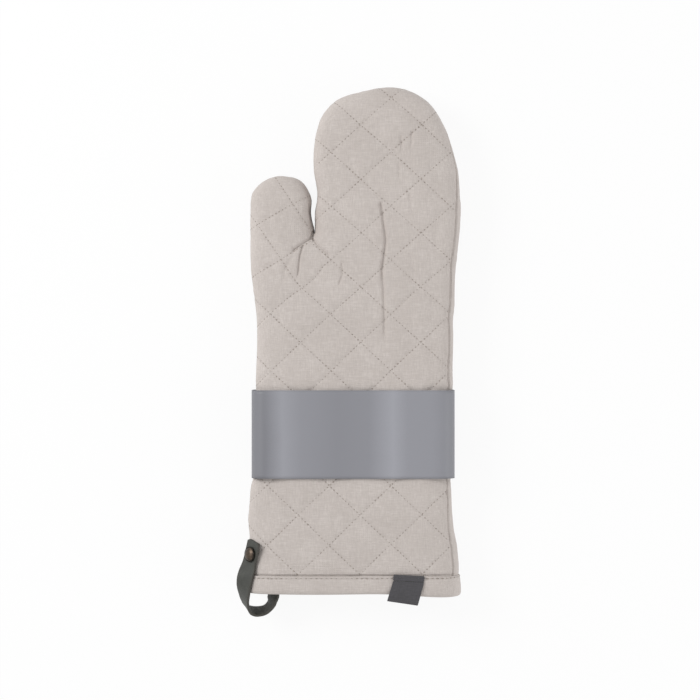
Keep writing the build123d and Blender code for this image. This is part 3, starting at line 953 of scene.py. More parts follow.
class MITT_OT_binding(bpy.types.Operator):
    """Strip of cloth folded over the raw edge of the cuff"""

    bl_idname = "mitt.binding"
    bl_label = "Cuff binding"

    def execute(self, context):
        shape, _, trim, finish = settings(context)
        hitch_from = 0.015
        hitch_run = 0.055
        ripple = 0.00022
        ripple_scale = 90.0
        fine_ripple = 0.00012
        fine_scale = 260.0
        uneven_fold = 0.0006
        fold_scale = 18.0
        fold_layer = 0.3
        outer = -trim.ply_gap - trim.binding
        inner = shape.wall + trim.ply_gap + trim.binding
        hem = shape.hem_y
        top = hem + trim.binding_width
        profile = [
            (top - 0.0002, outer + 0.0009),
            (top, outer + 0.0004),
            (top - 0.0003, outer),
            (top - 0.0012, outer + 0.00025),
            (top - 0.0026, outer - 0.0001),
            (hem + 0.006, outer - 0.0002),
            (hem + 0.0022, outer),
            (hem + 0.0004, outer + 0.0011),
            (hem, outer + 0.0030),
            (hem + 0.0005, inner - 0.0026),
            (hem + 0.0012, inner - 0.0009),
            (hem + 0.0026, inner),
            (hem + 0.006, inner + 0.0001),
            (top, inner),
            (top + 0.0002, inner - 0.0008),
        ]
        bm = bmesh.new()
        rings = [cuff_ring(bm, shape, y, inset, shape.relief + inset) for y, inset in profile]
        for near, far in zip(rings, rings[1:]):
            bmesh.ops.bridge_loops(bm, edges=near + far)
        bmesh.ops.recalc_face_normals(bm, faces=bm.faces)
        bmesh.ops.subdivide_edges(bm, edges=bm.edges, cuts=1, use_grid_fill=True)
        for vertex in bm.verts:
            rise = ripple * noise.noise(vertex.co * ripple_scale)
            rise += fine_ripple * noise.noise(vertex.co * fine_scale)
            low = eased((top - vertex.co.y) / trim.binding_width)
            hitched = 1.0 - eased((vertex.co.x - hitch_from) / hitch_run)
            fold_rise = trim.hem_rise * hitched - trim.hem_sag * (1.0 - hitched)
            vertex.co.y += trim.binding_rise * (1.0 - low) + fold_rise * low
            fold_place = Vector((vertex.co.x * fold_scale, fold_layer, 0.0))
            vertex.co.y += uneven_fold * noise.noise(fold_place)
            vertex.co.z += rise if vertex.co.z > shape.mid_z else 0.0
        binding = new_object("bound_hem", bm)
        make_finer(binding)
        dress(binding, "mitt", "binding", ("cuff_binding",), slub_linen(finish))
        return {"FINISHED"}


def surface_tree(*names):
    """Search tree over the finished surfaces of some pieces."""
    bm = bmesh.new()
    graph = bpy.context.evaluated_depsgraph_get()
    for name in names:
        shown = bpy.data.objects[name].evaluated_get(graph).to_mesh()
        bm.from_mesh(shown)
        bpy.data.objects[name].evaluated_get(graph).to_mesh_clear()
    tree = BVHTree.FromBMesh(bm)
    bm.free()
    return tree


def add_bead(bm, place, along, out, sizes, material=0):
    """One small bead lying on the cloth: a stitch of thread, or a dark bead of painted shade for the needle
    hole between two.
    """
    along = (along - out * along.dot(out)).normalized()
    turn = Matrix((along, out.cross(along), out)).transposed().to_4x4()
    scale = Matrix.Diagonal((sizes[0] / 2, sizes[1] / 2, sizes[2] / 2, 1.0))
    matrix = Matrix.Translation(place) @ turn @ scale
    made = bmesh.ops.create_icosphere(bm, subdivisions=1, radius=1.0, matrix=matrix)["verts"]
    for vertex in made:
        for face in vertex.link_faces:
            face.material_index = material


def merge_into(bm, part):
    """Add a small bmesh to a large one; many small ones stay quick to work on."""
    mesh = bpy.data.meshes.new("part")
    part.to_mesh(mesh)
    part.free()
    bm.from_mesh(mesh)
    bpy.data.meshes.remove(mesh)


def thread_piece(name, bm, finish, node):
    piece = new_object(name, bm)
    dress(piece, "mitt", "thread", (node,), sewing_thread(finish), needle_hole_shade(finish))
    return piece


# Rows of quilting on each side of the middle one, half of a row's length and the step along it
ROWS = 8
ROW_REACH = 0.36
ROW_STEP = 0.0002
# Half of the field that the rows are sewn in
FIELD_X = 0.12
FIELD_Y = 0.21
# A stitch is left out where the line jumps by more than this, deep in the thumb's fold, or on a steep side
LARGEST_JUMP = 0.0003
DEEP_FOLD = 0.3
STEEP_SIDE = 0.1
# The cloth is looked for from this far above and below the middle of the mitt
LOOK_LEVEL = 0.016
LOOK_FROM = 0.1
# A stitch lies beside its line and sinks into the cloth by a share of the thread
JITTER_SCALE = 700.0
SINK_SHARE = 0.2
# Dark beads of painted shade in the needle holes of the quilting: middle size, change and its scale, and
# length, width and height of each
HOLE_SIZE = 0.8
HOLE_CHANGE = 0.45
HOLE_SCALE = 150.0
HOLE_FORM = (1.0, 0.8, 0.35)
# The same painted shade in the needle holes of the topstitching, which changes slowly and quickly
HEM_HOLE_SIZE = 0.7
HEM_HOLE_CHANGES = ((0.4, 60.0), (0.3, 400.0))
HEM_HOLE_FORM = (1.6, 0.7, 0.25)


class MITT_OT_quilting(bpy.types.Operator):
    """Rows of quilting stitches along every sewn line of both panels"""

    bl_idname = "mitt.quilting"
    bl_label = "Quilting stitches"

    def execute(self, context):
        shape, quilt, _, finish = settings(context)
        for node, side in (("front", 1.0), ("back", -1.0)):
            tree = surface_tree(node + "_cover")
            bm = bmesh.new()
            for family in (1.0, -1.0):
                direction = Vector((quilt.diamond_width, family * quilt.diamond_height, 0.0)).normalized()
                for number in range(-ROWS, ROWS + 1):
                    middle = Vector((quilt.centre_x + number * quilt.diamond_width, quilt.centre_y, 0.0))
                    row = bmesh.new()
                    self.sew_row(row, tree, quilt, shape, middle, direction, side)
                    merge_into(bm, row)
            thread_piece(node + "_quilting", bm, finish, node + "_quilting_thread")
        return {"FINISHED"}

    def sew_row(self, bm, tree, quilt, shape, middle, direction, side):
        reach = -ROW_REACH
        last = None
        thread_next = True
        drift = Vector()
        while reach < ROW_REACH:
            plan = middle + direction * reach
            reach += ROW_STEP
            if abs(plan.x) > FIELD_X or abs(plan.y) > FIELD_Y:
                continue
            for _ in range(2):
                before = drift
                spot = plan - before
                drift = Vector((*stray(quilt, spot.x, spot.y), 0.0))
            jumps = (drift - before).length >= LARGEST_JUMP
            if jumps or thumb_fold(quilt, spot.x, spot.y) >= DEEP_FOLD:
                continue
            if spot.y < shape.hem_y + SEWN_ABOVE_HEM:
                continue
            beside = direction.yx.to_3d() * (quilt.jitter * noise.noise(spot * JITTER_SCALE))
            above = spot + beside + Vector((0.0, 0.0, LOOK_LEVEL + side * LOOK_FROM))
            place, out, _, _ = tree.ray_cast(above, Vector((0.0, 0.0, -side)))
            if place is None or out.z * side < STEEP_SIDE:
                continue
            if last is not None and (place - last).length < quilt.stitch_pitch / 2:
                continue
            last = place
            if thread_next:
                sink = out * (quilt.stitch_width * SINK_SHARE)
                sizes = (quilt.stitch_length, quilt.stitch_width, quilt.stitch_width)
                add_bead(bm, place - sink, direction, out, sizes)
            else:
                # A dark bead of painted shade in the needle hole
                hole = quilt.hole * (HOLE_SIZE + HOLE_CHANGE * noise.noise(place * HOLE_SCALE))
                add_bead(bm, place, direction, out, [hole * share for share in HOLE_FORM], 1)
            thread_next = not thread_next


class MITT_OT_seam(bpy.types.Operator):
    """Small stitches in the valley of the side seam"""

    bl_idname = "mitt.seam"
    bl_label = "Side seam"

    def execute(self, context):
        shape, quilt, _, finish = settings(context)
        inside = 0.012
        beside_slit = 0.0005
        stitch = 0.0016
        walk_pitch = 0.0026
        closest = 0.0022
        sizes = (stitch, quilt.stitch_width, quilt.stitch_width)
        origin, normal = seam_normal(shape)
        stations = outline_stations(shape, 0.0)
        slit_left = stations[SLIT_LEFT][0].x - beside_slit
        slit_right = stations[SLIT_RIGHT][0].x + beside_slit
        slit_top = stations[SLIT_LEFT][0].y + 2.0 * beside_slit
        tree = surface_tree("front_cover", "back_cover")
        bm = bmesh.new()
        last = None
        for place, facing in self.walk(stations, walk_pitch):
            in_slit = slit_left < place.x < slit_right and place.y < slit_top
            if in_slit or place.y < shape.hem_y + SEWN_ABOVE_HEM:
                continue
            outward = heading(facing + math.pi / 2)
            place.z = origin.z - (place.x - origin.x) * normal.x / normal.z - seam_drop(shape, place.y)
            climb = outward + Vector((0.0, 0.0, -outward.dot(normal) / normal.z))
            hit, _, _, _ = tree.ray_cast(place - climb * inside, climb)
            if hit is None or (last is not None and (hit - last).length < closest):
                continue
            last = hit
            add_bead(bm, hit, normal, outward, sizes)
        thread_piece("side_seam", bm, finish, "side_seam_thread")
        return {"FINISHED"}

    def walk(self, stations, pitch):
        """Points along the whole outline and the heading at each."""
        for start, turn_now, size, turn in stations[:-1]:
            run = size if turn == 0.0 else size * abs(turn)
            side = math.copysign(1.0, turn)
            centre = start + heading(turn_now + side * math.pi / 2) * size
            pieces = max(1, round(run / pitch))
            for number in range(pieces):
                part = number / pieces
                facing = turn_now + turn * part
                if turn == 0.0:
                    yield start + heading(turn_now) * (size * part), facing
                else:
                    yield centre - heading(facing + side * math.pi / 2) * size, facing


class MITT_OT_topstitch(bpy.types.Operator):
    """Row of topstitching round the bound hem"""

    bl_idname = "mitt.topstitch"
    bl_label = "Hem topstitching"

    def execute(self, context):
        shape, quilt, trim, finish = settings(context)
        below_edge = 0.0014
        beside_label = 0.0005
        guide_outside = -0.004
        steps = 12
        sizes = (quilt.hem_length, quilt.stitch_width, quilt.stitch_width)
        label_reach = trim.label_width / 2 + beside_label
        tree = surface_tree("bound_hem")
        row_y = shape.hem_y + trim.binding_width + trim.binding_rise - below_edge
        guide = bmesh.new()
        cuff_ring(guide, shape, row_y, guide_outside, -1.0)
        walk = [vertex.co.copy() for vertex in guide.verts]
        guide.free()
        bm = bmesh.new()
        middle = sum(walk, Vector()) / len(walk)
        last = None
        for start, end in zip(walk, walk[1:] + walk[:1]):
            for part in range(steps):
                hit, out, _, _ = tree.find_nearest(start.lerp(end, part / steps))
                hit.y = row_y
                out.y = 0.0
                if last is not None and (hit - last).length < quilt.hem_pitch:
                    continue
                if hit.z > middle.z and abs(hit.x - trim.label_x) < label_reach:
                    continue
                last = hit.copy()
                along = Vector((0, 1, 0)).cross(out).normalized()
                out = out.normalized()
                add_bead(bm, hit, along, out, sizes)
                # A dark bead of painted shade in the needle hole after each stitch
                dip = hit + along * (quilt.hem_pitch / 2)
                size = HEM_HOLE_SIZE
                for change, scale in HEM_HOLE_CHANGES:
                    size += change * noise.noise(hit * scale)
                hole = quilt.hole * size
                add_bead(bm, dip, along, out, [hole * share for share in HEM_HOLE_FORM], 1)
        thread_piece("hem_topstitch", bm, finish, "binding_topstitch")
        return {"FINISHED"}


def rivet_frame(shape, trim):
    """Seat of the rivet on the rounded side, and its up, out and across directions."""
    up = heading(math.pi / 2 - shape.cuff_left_lean)
    side = heading(math.pi - shape.cuff_left_lean)
    out = side * math.sin(trim.rivet_tilt) + Vector((0, 0, math.cos(trim.rivet_tilt)))
    edge_x = shape.cuff_left_x + (trim.rivet_y - shape.hem_y) * math.tan(shape.cuff_left_lean)
    centre = Vector((edge_x, trim.rivet_y, shape.mid_z)) - side * shape.edge_radius
    return centre + out * shape.edge_radius, up, out, up.cross(out)


def even_steps(places, pieces):
    """Where even steps along a line of points fall: number of the point before, and part of the way on."""
    lengths = [0.0]
    for before, after in zip(places, places[1:]):
        lengths.append(lengths[-1] + (after - before).length)
    index = 0
    for number in range(pieces + 1):
        target = lengths[-1] * number / pieces
        while index < len(places) - 2 and lengths[index + 1] < target:
            index += 1
        yield index, (target - lengths[index]) / (lengths[index + 1] - lengths[index])


def smooth_path(points, pieces):
    """Points and directions along a smooth line through the given points."""
    curve = bpy.data.curves.new("path", "CURVE")
    curve.dimensions = "3D"
    spline = curve.splines.new("BEZIER")
    spline.bezier_points.add(len(points) - 1)
    for knot, place in zip(spline.bezier_points, points):
        knot.co = place
        knot.handle_left_type = "AUTO"
        knot.handle_right_type = "AUTO"
    spline.resolution_u = 24
    holder = in_scene("path", curve)
    graph = bpy.context.evaluated_depsgraph_get()
    line = bpy.data.meshes.new_from_object(holder.evaluated_get(graph))
    places = [vertex.co.copy() for vertex in line.vertices]
    bpy.data.objects.remove(holder)
    bpy.data.curves.remove(curve)
    bpy.data.meshes.remove(line)
    samples = []
    for index, part in even_steps(places, pieces):
        samples.append((places[index].lerp(places[index + 1], part), places[index + 1] - places[index]))
    return samples


# Steps to either side over which the lean of the loop is evened out
LEAN_REACH = 4
# Stations of the hanging loop past the rivet: place of its middle, and lean of its width
LOOP_STATIONS = [
    ((-0.0706, -0.1530, 0.0269), (0.83, -0.15, 0.54)),
    ((-0.0717, -0.1586, 0.0262), (0.78, -0.10, 0.62)),
    ((-0.0721, -0.1626, 0.0248), (0.67, -0.05, 0.73)),
    ((-0.0721, -0.1665, 0.0230), (0.50, -0.08, 0.85)),
    ((-0.0714, -0.1722, 0.0205), (0.37, -0.18, 0.90)),
    ((-0.0695, -0.1769, 0.0181), (0.30, -0.33, 0.88)),
    ((-0.0661, -0.1787, 0.0162), (0.20, -0.36, 0.91)),
    ((-0.0613, -0.1789, 0.0150), (0.09, -0.33, 0.93)),
    ((-0.0576, -0.1779, 0.0145), (0.17, -0.29, 0.93)),
    ((-0.0551, -0.1758, 0.0146), (0.25, -0.23, 0.93)),
    ((-0.0535, -0.1732, 0.0151), (0.32, -0.14, 0.92)),
    ((-0.0529, -0.1705, 0.0157), (0.42, -0.05, 0.89)),
]


def spread_along(route, pieces):
    """Leans at even steps along a route of (place, lean) stations."""
    leans = []
    for index, part in even_steps([place for place, _ in route], pieces):
        leans.append(route[index][1].lerp(route[index + 1][1], part))
    evened = []
    for number in range(pieces + 1):
        near = leans[max(0, number - LEAN_REACH) : number + LEAN_REACH + 1]
        evened.append(sum(near, Vector()) / len(near))
    return evened


class MITT_OT_strap(bpy.types.Operator):
    """Leather hanging loop, riveted through the cuff"""

    bl_idname = "mitt.strap"
    bl_label = "Hanging strap"

    def execute(self, context):
        shape, _, trim, finish = settings(context)
        strap_run = 0.19
        corner = 0.0018
        cupping = 0.00025
        bevel = 0.00035
        wear_power = 6
        above_rivet = 0.0094
        beside_rivet = 0.0065
        seat, up, out, across = rivet_frame(shape, trim)
        turned_up = up * math.cos(trim.strap_turn) - across * math.sin(trim.strap_turn)
        turned_across = across * math.cos(trim.strap_turn) + up * math.sin(trim.strap_turn)
        lift = trim.strap_clear + trim.strap / 2
        route = [
            (seat + out * lift + turned_up * above_rivet, turned_across),
            (seat + out * lift, turned_across),
            (seat + out * lift - turned_up * beside_rivet, turned_across),
            *[(Vector(place), Vector(lean)) for place, lean in LOOP_STATIONS],
            (seat - up * 0.028 - out * 0.0182 + across * 0.0030, across),
            (seat - up * 0.016 - out * 0.0138 + across * 0.0010, across),
            (seat - up * beside_rivet - out * trim.tail_in, across),
            (seat - out * trim.tail_in, across),
            (seat + up * beside_rivet - out * trim.tail_in, across),
        ]
        pieces = 96
        widths = 8
        samples = smooth_path([place for place, _ in route], pieces)
        leans = spread_along(route, pieces)
        bm = bmesh.new()
        bmesh.ops.create_grid(bm, x_segments=pieces, y_segments=widths, size=1.0)
        edge_layer = bm.verts.layers.float_color.new("edge")
        for vertex in bm.verts:
            number = round((vertex.co.x + 1.0) / 2 * pieces)
            place, direction = samples[number]
            along = number / pieces
            direction = direction.normalized()
            lean = leans[number]
            side = (lean - direction * lean.dot(direction)).normalized()
            offset = vertex.co.y
            end = min(along, 1.0 - along) * strap_run
            half = trim.strap_width / 2
            if end < corner:
                half -= corner - math.sqrt(max(0.0, corner**2 - (corner - end) ** 2))
            normal = side.cross(direction)
            vertex.co = place + side * (half * offset) + normal * (cupping * (1.0 - offset * offset))
            wear = abs(offset) ** wear_power
            vertex[edge_layer] = (wear, wear, wear, 1.0)
        bmesh.ops.recalc_face_normals(bm, faces=bm.faces)
        strap = new_object("leather_loop", bm)
        thicken(strap, "leather", trim.strap)
        round_edges(strap, "edges", bevel, 2)
        dress(strap, "strap", "leather", ("hanging_strap",), strap_leather(finish))
        return {"FINISHED"}


# Points nearer than this are one
SAME_PLACE = 1e-6


def lathe(bm, profile, rim, matrix):
    """Spin a half profile of (radius, height) points about the local Z axis, mark its rim, place it."""
    verts = []
    for radius, height in profile:
        verts.append(bmesh.ops.create_vert(bm, co=(radius, 0.0, height))["vert"][0])
    edges = [bm.edges.new(pair) for pair in zip(verts, verts[1:])]
    bmesh.ops.spin(
        bm, geom=verts + edges, cent=(0, 0, 0), axis=(0, 0, 1), angle=math.tau, steps=48, use_merge=True
    )
    bmesh.ops.remove_doubles(bm, verts=bm.verts, dist=SAME_PLACE)
    bmesh.ops.recalc_face_normals(bm, faces=bm.faces)
    for face in bm.faces:
        face.material_index = 1 if face.calc_center_median().xy.length > rim else 0
    bmesh.ops.transform(bm, matrix=matrix, verts=bm.verts)


class MITT_OT_rivet(bpy.types.Operator):
    """Antiqued domed rivet and its post through the cuff"""

    bl_idname = "mitt.rivet"
    bl_label = "Rivet"

    def execute(self, context):
        shape, _, trim, finish = settings(context)
        seat, up, out, across = rivet_frame(shape, trim)
        turn = Matrix((across, up, out)).transposed().to_4x4()
        place = Matrix.Translation(seat) @ turn
        base = trim.strap + 2 * trim.strap_clear
        radius = trim.head_radius
        head = [
            (0.0, base),
            (radius * 0.96, base),
            (radius, base + 0.00025),
            (radius, base + 0.00065),
            (radius * 0.97, base + 0.00095),
            (radius * 0.90, base + 0.00100),
            (radius * 0.865, base + 0.00088),
            (radius * 0.84, base + 0.00095),
            (radius * 0.74, base + 0.00150),
            (radius * 0.55, base + 0.00202),
            (radius * 0.30, base + 0.00232),
            (0.0, base + 0.00242),
        ]
        # Past 85 % of the radius the head takes the dark rim finish: blackened groove and painted shade on
        # the rim
        self.metal_piece("rivet_head", "rivet_cap", head, radius * 0.85, place, finish)
        deep = -trim.tail_in - trim.strap / 2 - trim.strap_clear
        foot = trim.foot_radius
        post = [
            (0.0, base),
            (trim.shank_radius, base),
            (trim.shank_radius, deep),
            (foot * 0.97, deep),
            (foot, deep - 0.0003),
            (foot, deep - 0.0007),
            (foot * 0.85, deep - 0.0011),
            (foot * 0.4, deep - 0.0012),
            (0.0, deep - 0.0012),
        ]
        self.metal_piece("rivet_shank", "rivet_post", post, foot, place, finish)
        return {"FINISHED"}

    def metal_piece(self, name, node, profile, rim, place, finish):
        bm = bmesh.new()
        lathe(bm, profile, rim, place)
        piece = new_object(name, bm)
        dress(piece, "mitt", "rivet", (node,), antiqued_metal(finish), blackened_and_shaded_rim(finish))


class MITT_OT_label(bpy.types.Operator):
    """Folded woven label: sewn tab, hanging flap and the stitches across it"""

    bl_idname = "mitt.label"
    bl_label = "Woven label"

    def execute(self, context):
        shape, quilt, trim, finish = settings(context)
        clear = 0.0003
        longer_tab = 0.0010
        bow = 0.0004
        bow_turn = 2.6
        curl = 0.0005
        waviness = 0.0001
        waves = 3.0
        tab_dip = 0.00012
        dip_place = 0.4
        dip_turn = 6.0
        tab_gap = 0.00008
        heavier_thread = 1.2
        stitches_up = 0.75
        stitches_in = 0.0001
        binding_top = shape.mid_z + shape.edge_radius + shape.crown_rise + trim.ply_gap + trim.binding
        fold = trim.label / 2
        tab_low = fold + clear
        origin = Vector((
            trim.label_x,
            shape.hem_y + trim.binding_width + trim.label_above - trim.label_tab - tab_low,
            binding_top + clear + fold,
        ))
        place = Matrix.Translation(origin) @ Matrix.Rotation(trim.label_turn, 4, "Z")
        half = trim.label_width / 2

        bm = bmesh.new()
        bmesh.ops.create_grid(bm, x_segments=28, y_segments=24, size=1.0)
        for vertex in bm.verts:
            down = (1.0 - vertex.co.y) / 2
            side = vertex.co.x
            sway = trim.label_lean * down
            reach = trim.label_flap * (1.0 - trim.label_slant * (1.0 - side) / 2)
            lift = bow * math.sin(down * bow_turn) + curl * down * down * side
            lift += waviness * down * noise.noise(Vector((side * waves, down * waves, 0.0)))
            vertex.co = Vector((half * side - sway, fold - (reach + fold) * down, lift))
        flap = self.cloth_piece("label_flap", bm, place, trim.label)
        dress(flap, "label", "label", ("woven_label",), woven_label(finish))

        bm = bmesh.new()
        bmesh.ops.create_grid(bm, x_segments=28, y_segments=5, size=1.0)
        for vertex in bm.verts:
            up = (vertex.co.y + 1.0) / 2
            dip = -tab_dip * math.cos((up - dip_place) * dip_turn)
            low = fold + tab_gap
            high = tab_low + trim.label_tab + longer_tab
            vertex.co = Vector((half * vertex.co.x, low + (high - low) * up, dip - clear / 2))
        tab = self.cloth_piece("label_sewn_edge", bm, place, trim.label + clear)
        dress(tab, "mitt", "label", ("label_tab",), woven_label(finish))

        bm = bmesh.new()
        stitches = round(trim.label_width / quilt.hem_pitch)
        spacing = trim.label_width / (stitches - 1)
        along = place.to_3x3() @ Vector((1, 0, 0))
        thread = quilt.stitch_width * heavier_thread
        for number in range(stitches):
            x = (number + 0.5 - stitches / 2) * spacing
            where = place @ Vector((x, tab_low + trim.label_tab * stitches_up, fold - stitches_in))
            add_bead(bm, where, along, Vector((0, 0, 1)), (quilt.hem_length, thread, thread))
        stitching = thread_piece("label_stitching", bm, finish, "label_stitches")
        stitching.data.materials[0] = dark_thread(finish)
        return {"FINISHED"}

    def cloth_piece(self, name, bm, place, thickness):
        bmesh.ops.transform(bm, matrix=place, verts=bm.verts)
        bmesh.ops.recalc_face_normals(bm, faces=bm.faces)
        piece = new_object(name, bm)
        thicken(piece, "folded cloth", thickness)
        round_edges(piece, "rounded edges", thickness * 0.47, 3)
        return piece


class MITT_OT_band(bpy.types.Operator):
    """Paper belly band wrapped round the waist, its ends lapped and glued underneath"""

    bl_idname = "mitt.band"
    bl_label = "Paper band"

    def execute(self, context):
        shape, _, trim, finish = settings(context)
        tighter_corner = 0.006
        rows = 24
        waviness = 0.00045
        waves = Vector((30.0, 3.0, 0.0))
        wave_layer = Vector((0.0, 0.0, 0.7))
        wave_rise = 0.5
        wavy_part = 0.002
        half = trim.paper / 2
        top = shape.mid_z + shape.edge_radius + shape.crown_rise + trim.band_clear + half
        inner_low = shape.relief - trim.band_clear - half
        outer_low = inner_low - trim.paper - trim.band_glue
        left = trim.band_left + half
        right = trim.band_right - half
        radius = shape.edge_radius - tighter_corner
        lap = trim.band_lap / 2
        bm = bmesh.new()
        last = bmesh.ops.create_vert(bm, co=(lap, trim.band_low, inner_low))["vert"][0]
        # Flat runs, each with the corner that follows it: end, number of edges, centre of the corner
        for end, pieces, corner in (
            ((left + radius, inner_low), 40, (left + radius, inner_low + radius)),
            ((left, top - radius), 6, (left + radius, top - radius)),
            ((right - radius, top), 60, (right - radius, top - radius)),
            ((right, outer_low + radius), 6, (right - radius, outer_low + radius)),
        ):
            last = self.run(bm, last, end, pieces)
            last = bend(bm, last, (corner[0], last.co.y, corner[1]), (0, 1, 0), math.pi / 2, 12)
        self.run(bm, last, (-lap, outer_low), 40)
        strip = bm.edges[:]
        for _ in range(rows):
            grown = bmesh.ops.extrude_edge_only(bm, edges=strip)["geom"]
            moved = [part for part in grown if isinstance(part, bmesh.types.BMVert)]
            bmesh.ops.translate(bm, verts=moved, vec=(0.0, trim.band_height / rows, 0.0))
            strip = [part for part in grown if isinstance(part, bmesh.types.BMEdge) and part.is_boundary]
            strip = [edge for edge in strip if abs(edge.verts[0].co.y - edge.verts[1].co.y) < SAME_PLACE]
        bmesh.ops.recalc_face_normals(bm, faces=bm.faces)
        for vertex in bm.verts:
            if vertex.co.z > top - wavy_part:
                wave = noise.noise(vertex.co * waves + wave_layer)
                vertex.co.z += waviness * (wave + wave_rise)
        band = new_object("belly_band", bm)
        thicken(band, "paper", trim.paper)
        dress(band, "band", "band", ("paper_band",), coated_paper(finish, trim))
        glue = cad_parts["band_glue"]
        glue.data.materials.clear()
        glue.data.materials.append(dried_glue(finish))
        return {"FINISHED"}

    def run(self, bm, last, target, pieces):
        start_x, start_z = last.co.x, last.co.z
        for number in range(1, pieces + 1):
            last = grow(bm, last, Vector())
            last.co.x = start_x + (target[0] - start_x) * number / pieces
            last.co.z = start_z + (target[1] - start_z) * number / pieces
        return last


class Shader:
    """A new material with its node tree, a surface shader and short ways to add nodes."""

    def __init__(self, name):
        self.material = bpy.data.materials.new(name)
        self.material.use_nodes = True
        self.nodes = self.material.node_tree.nodes
        self.links = self.material.node_tree.links
        self.surface = self.nodes["Principled BSDF"]
        self.place = self.nodes.new("ShaderNodeTexCoord").outputs["Object"]

    def add(self, kind, socket, source, **values):
        """A new node with a source linked to one socket and values set on others."""
        node = self.nodes.new("ShaderNode" + kind)
        for name, value in values.items():
            node.inputs[name].default_value = value
        self.links.new(source, node.inputs[socket])
        return node

    def stretched(self, scale, turn=0.0):
        node = self.add("Mapping", "Vector", self.place, Scale=scale, Rotation=(0.0, 0.0, turn))
        return node.outputs["Vector"]

    def noise(self, vector, scale, detail, roughness):
        node = self.add("TexNoise", "Vector", vector, Scale=scale, Detail=detail, Roughness=roughness)
        return node.outputs["Fac"]

    def wave(self, vector, scale, direction, distortion=1.5):
        node = self.add("TexWave", "Vector", vector, Scale=scale, Distortion=distortion, Detail=1.0)
        node.bands_direction = direction
        return node.outputs["Fac"]

    def math(self, operation, first, second):
        node = self.nodes.new("ShaderNodeMath")
        node.operation = operation
        for socket, value in zip(node.inputs, (first, second)):
            if isinstance(value, float):
                socket.default_value = value
            else:
                self.links.new(value, socket)
        return node.outputs["Value"]

    def weighed(self, first, first_weight, second, second_weight):
        """Sum of two patterns, each with its weight."""
        return self.math(
            "ADD", self.math("MULTIPLY", first, first_weight), self.math("MULTIPLY", second, second_weight)
        )

    def swayed(self, value, pattern, reach):
        """A value moved to and fro by a pattern."""
        return self.math("ADD", value, self.math("MULTIPLY", self.math("SUBTRACT", pattern, 0.5), reach))

    def ramp(self, factor, stops):
        node = self.add("ValToRGB", "Fac", factor)
        elements = node.color_ramp.elements
        while len(elements) < len(stops):
            elements.new(0.5)
        for element, (position, tint) in zip(elements, stops):
            element.position = position
            element.color = tint
        return node.outputs["Color"]

    def spread(self, factor, low, high):
        node = self.add("MapRange", "Value", factor, **{"To Min": low, "To Max": high})
        return node.outputs["Result"]

    def bump(self, height, strength, distance):
        node = self.add("Bump", "Height", height, Strength=strength, Distance=distance)
        self.set("Normal", node.outputs["Normal"])

    def set(self, socket, value):
        if isinstance(value, bpy.types.NodeSocket):
            self.links.new(value, self.surface.inputs[socket])
        else:
            self.surface.inputs[socket].default_value = value


def tinted(tone, level):
    """A colour made darker or lighter."""
    return tuple(value * level for value in tone[:3]) + (1.0,)


def mixed_once(recipe):
    """Make a recipe into a function that mixes its finish once and then hands out the same one."""
    name = recipe.__name__.replace("_", " ")

    def finished(*values):
        found = bpy.data.materials.get(name)
        if found is None:
            shader = Shader(name)
            recipe(shader, *values)
            found = shader.material
        return found

    return finished


def weave(shader, dark, middle, light, yarn):
    """Slubby yarns running both ways, with a fine weave in the bump."""
    weft = shader.noise(shader.stretched((yarn * 0.11, yarn, yarn)), 1.0, 3.0, 0.6)
    warp = shader.noise(shader.stretched((yarn, yarn * 0.13, yarn)), 1.0, 3.0, 0.6)
    cloud = shader.noise(shader.place, 38.0, 2.0, 0.5)
    yarns = shader.weighed(weft, 0.5, warp, 0.5)
    tone = shader.weighed(yarns, 0.82, cloud, 0.18)
    shader.set("Base Color", shader.ramp(tone, [(0.36, dark), (0.50, middle), (0.64, light)]))
    over = shader.wave(shader.place, yarn * 0.16, "X")
    under = shader.wave(shader.place, yarn * 0.16, "Y")
    cross = shader.math("MULTIPLY", over, under)
    shader.bump(shader.weighed(cross, 0.45, yarns, 0.9), 0.55, 0.0004)
    return yarns


@mixed_once
def slub_linen(shader, finish):
    yarns = weave(shader, finish.linen_dark, finish.linen, finish.linen_light, 1500.0)
    shader.set("Roughness", shader.spread(yarns, 0.86, 0.98))
    shader.set("Specular IOR Level", 0.25)
    shader.set("Sheen Weight", 0.12)
    shader.set("Sheen Roughness", 0.6)


@mixed_once
def cotton_lining(shader, finish):
    yarns = weave(shader, tinted(finish.lining, 0.86), finish.lining, tinted(finish.lining, 1.1), 1300.0)
    shader.set("Roughness", shader.spread(yarns, 0.88, 0.98))
    shader.set("Specular IOR Level", 0.2)


def twisted_thread(shader, dark, light, smooth, rough):
    twist = shader.wave(shader.stretched((1.0, 1.0, 1.0), 0.7), 1400.0, "X", 0.5)
    shader.set("Base Color", shader.ramp(twist, [(0.2, dark), (0.75, light)]))
    shader.set("Roughness", shader.spread(twist, smooth, rough))
    shader.set("Sheen Weight", 0.15)
    shader.bump(twist, 0.4, 0.0001)


@mixed_once
def sewing_thread(shader, finish):
    twisted_thread(shader, tinted(finish.thread, 0.7), finish.thread, 0.6, 0.8)


@mixed_once
def dark_thread(shader, finish):
    twisted_thread(shader, tinted(finish.label, 0.75), tinted(finish.label, 1.7), 0.5, 0.7)


# Painted shade of the needle holes between the stitches
@mixed_once
def needle_hole_shade(shader, finish):
    fray = shader.noise(shader.place, 1600.0, 3.0, 0.6)
    shader.set("Base Color", shader.ramp(fray, [(0.35, finish.hole), (0.7, tinted(finish.hole, 1.7))]))
    shader.set("Roughness", shader.spread(fray, 0.9, 1.0))
    shader.set("Specular IOR Level", 0.1)


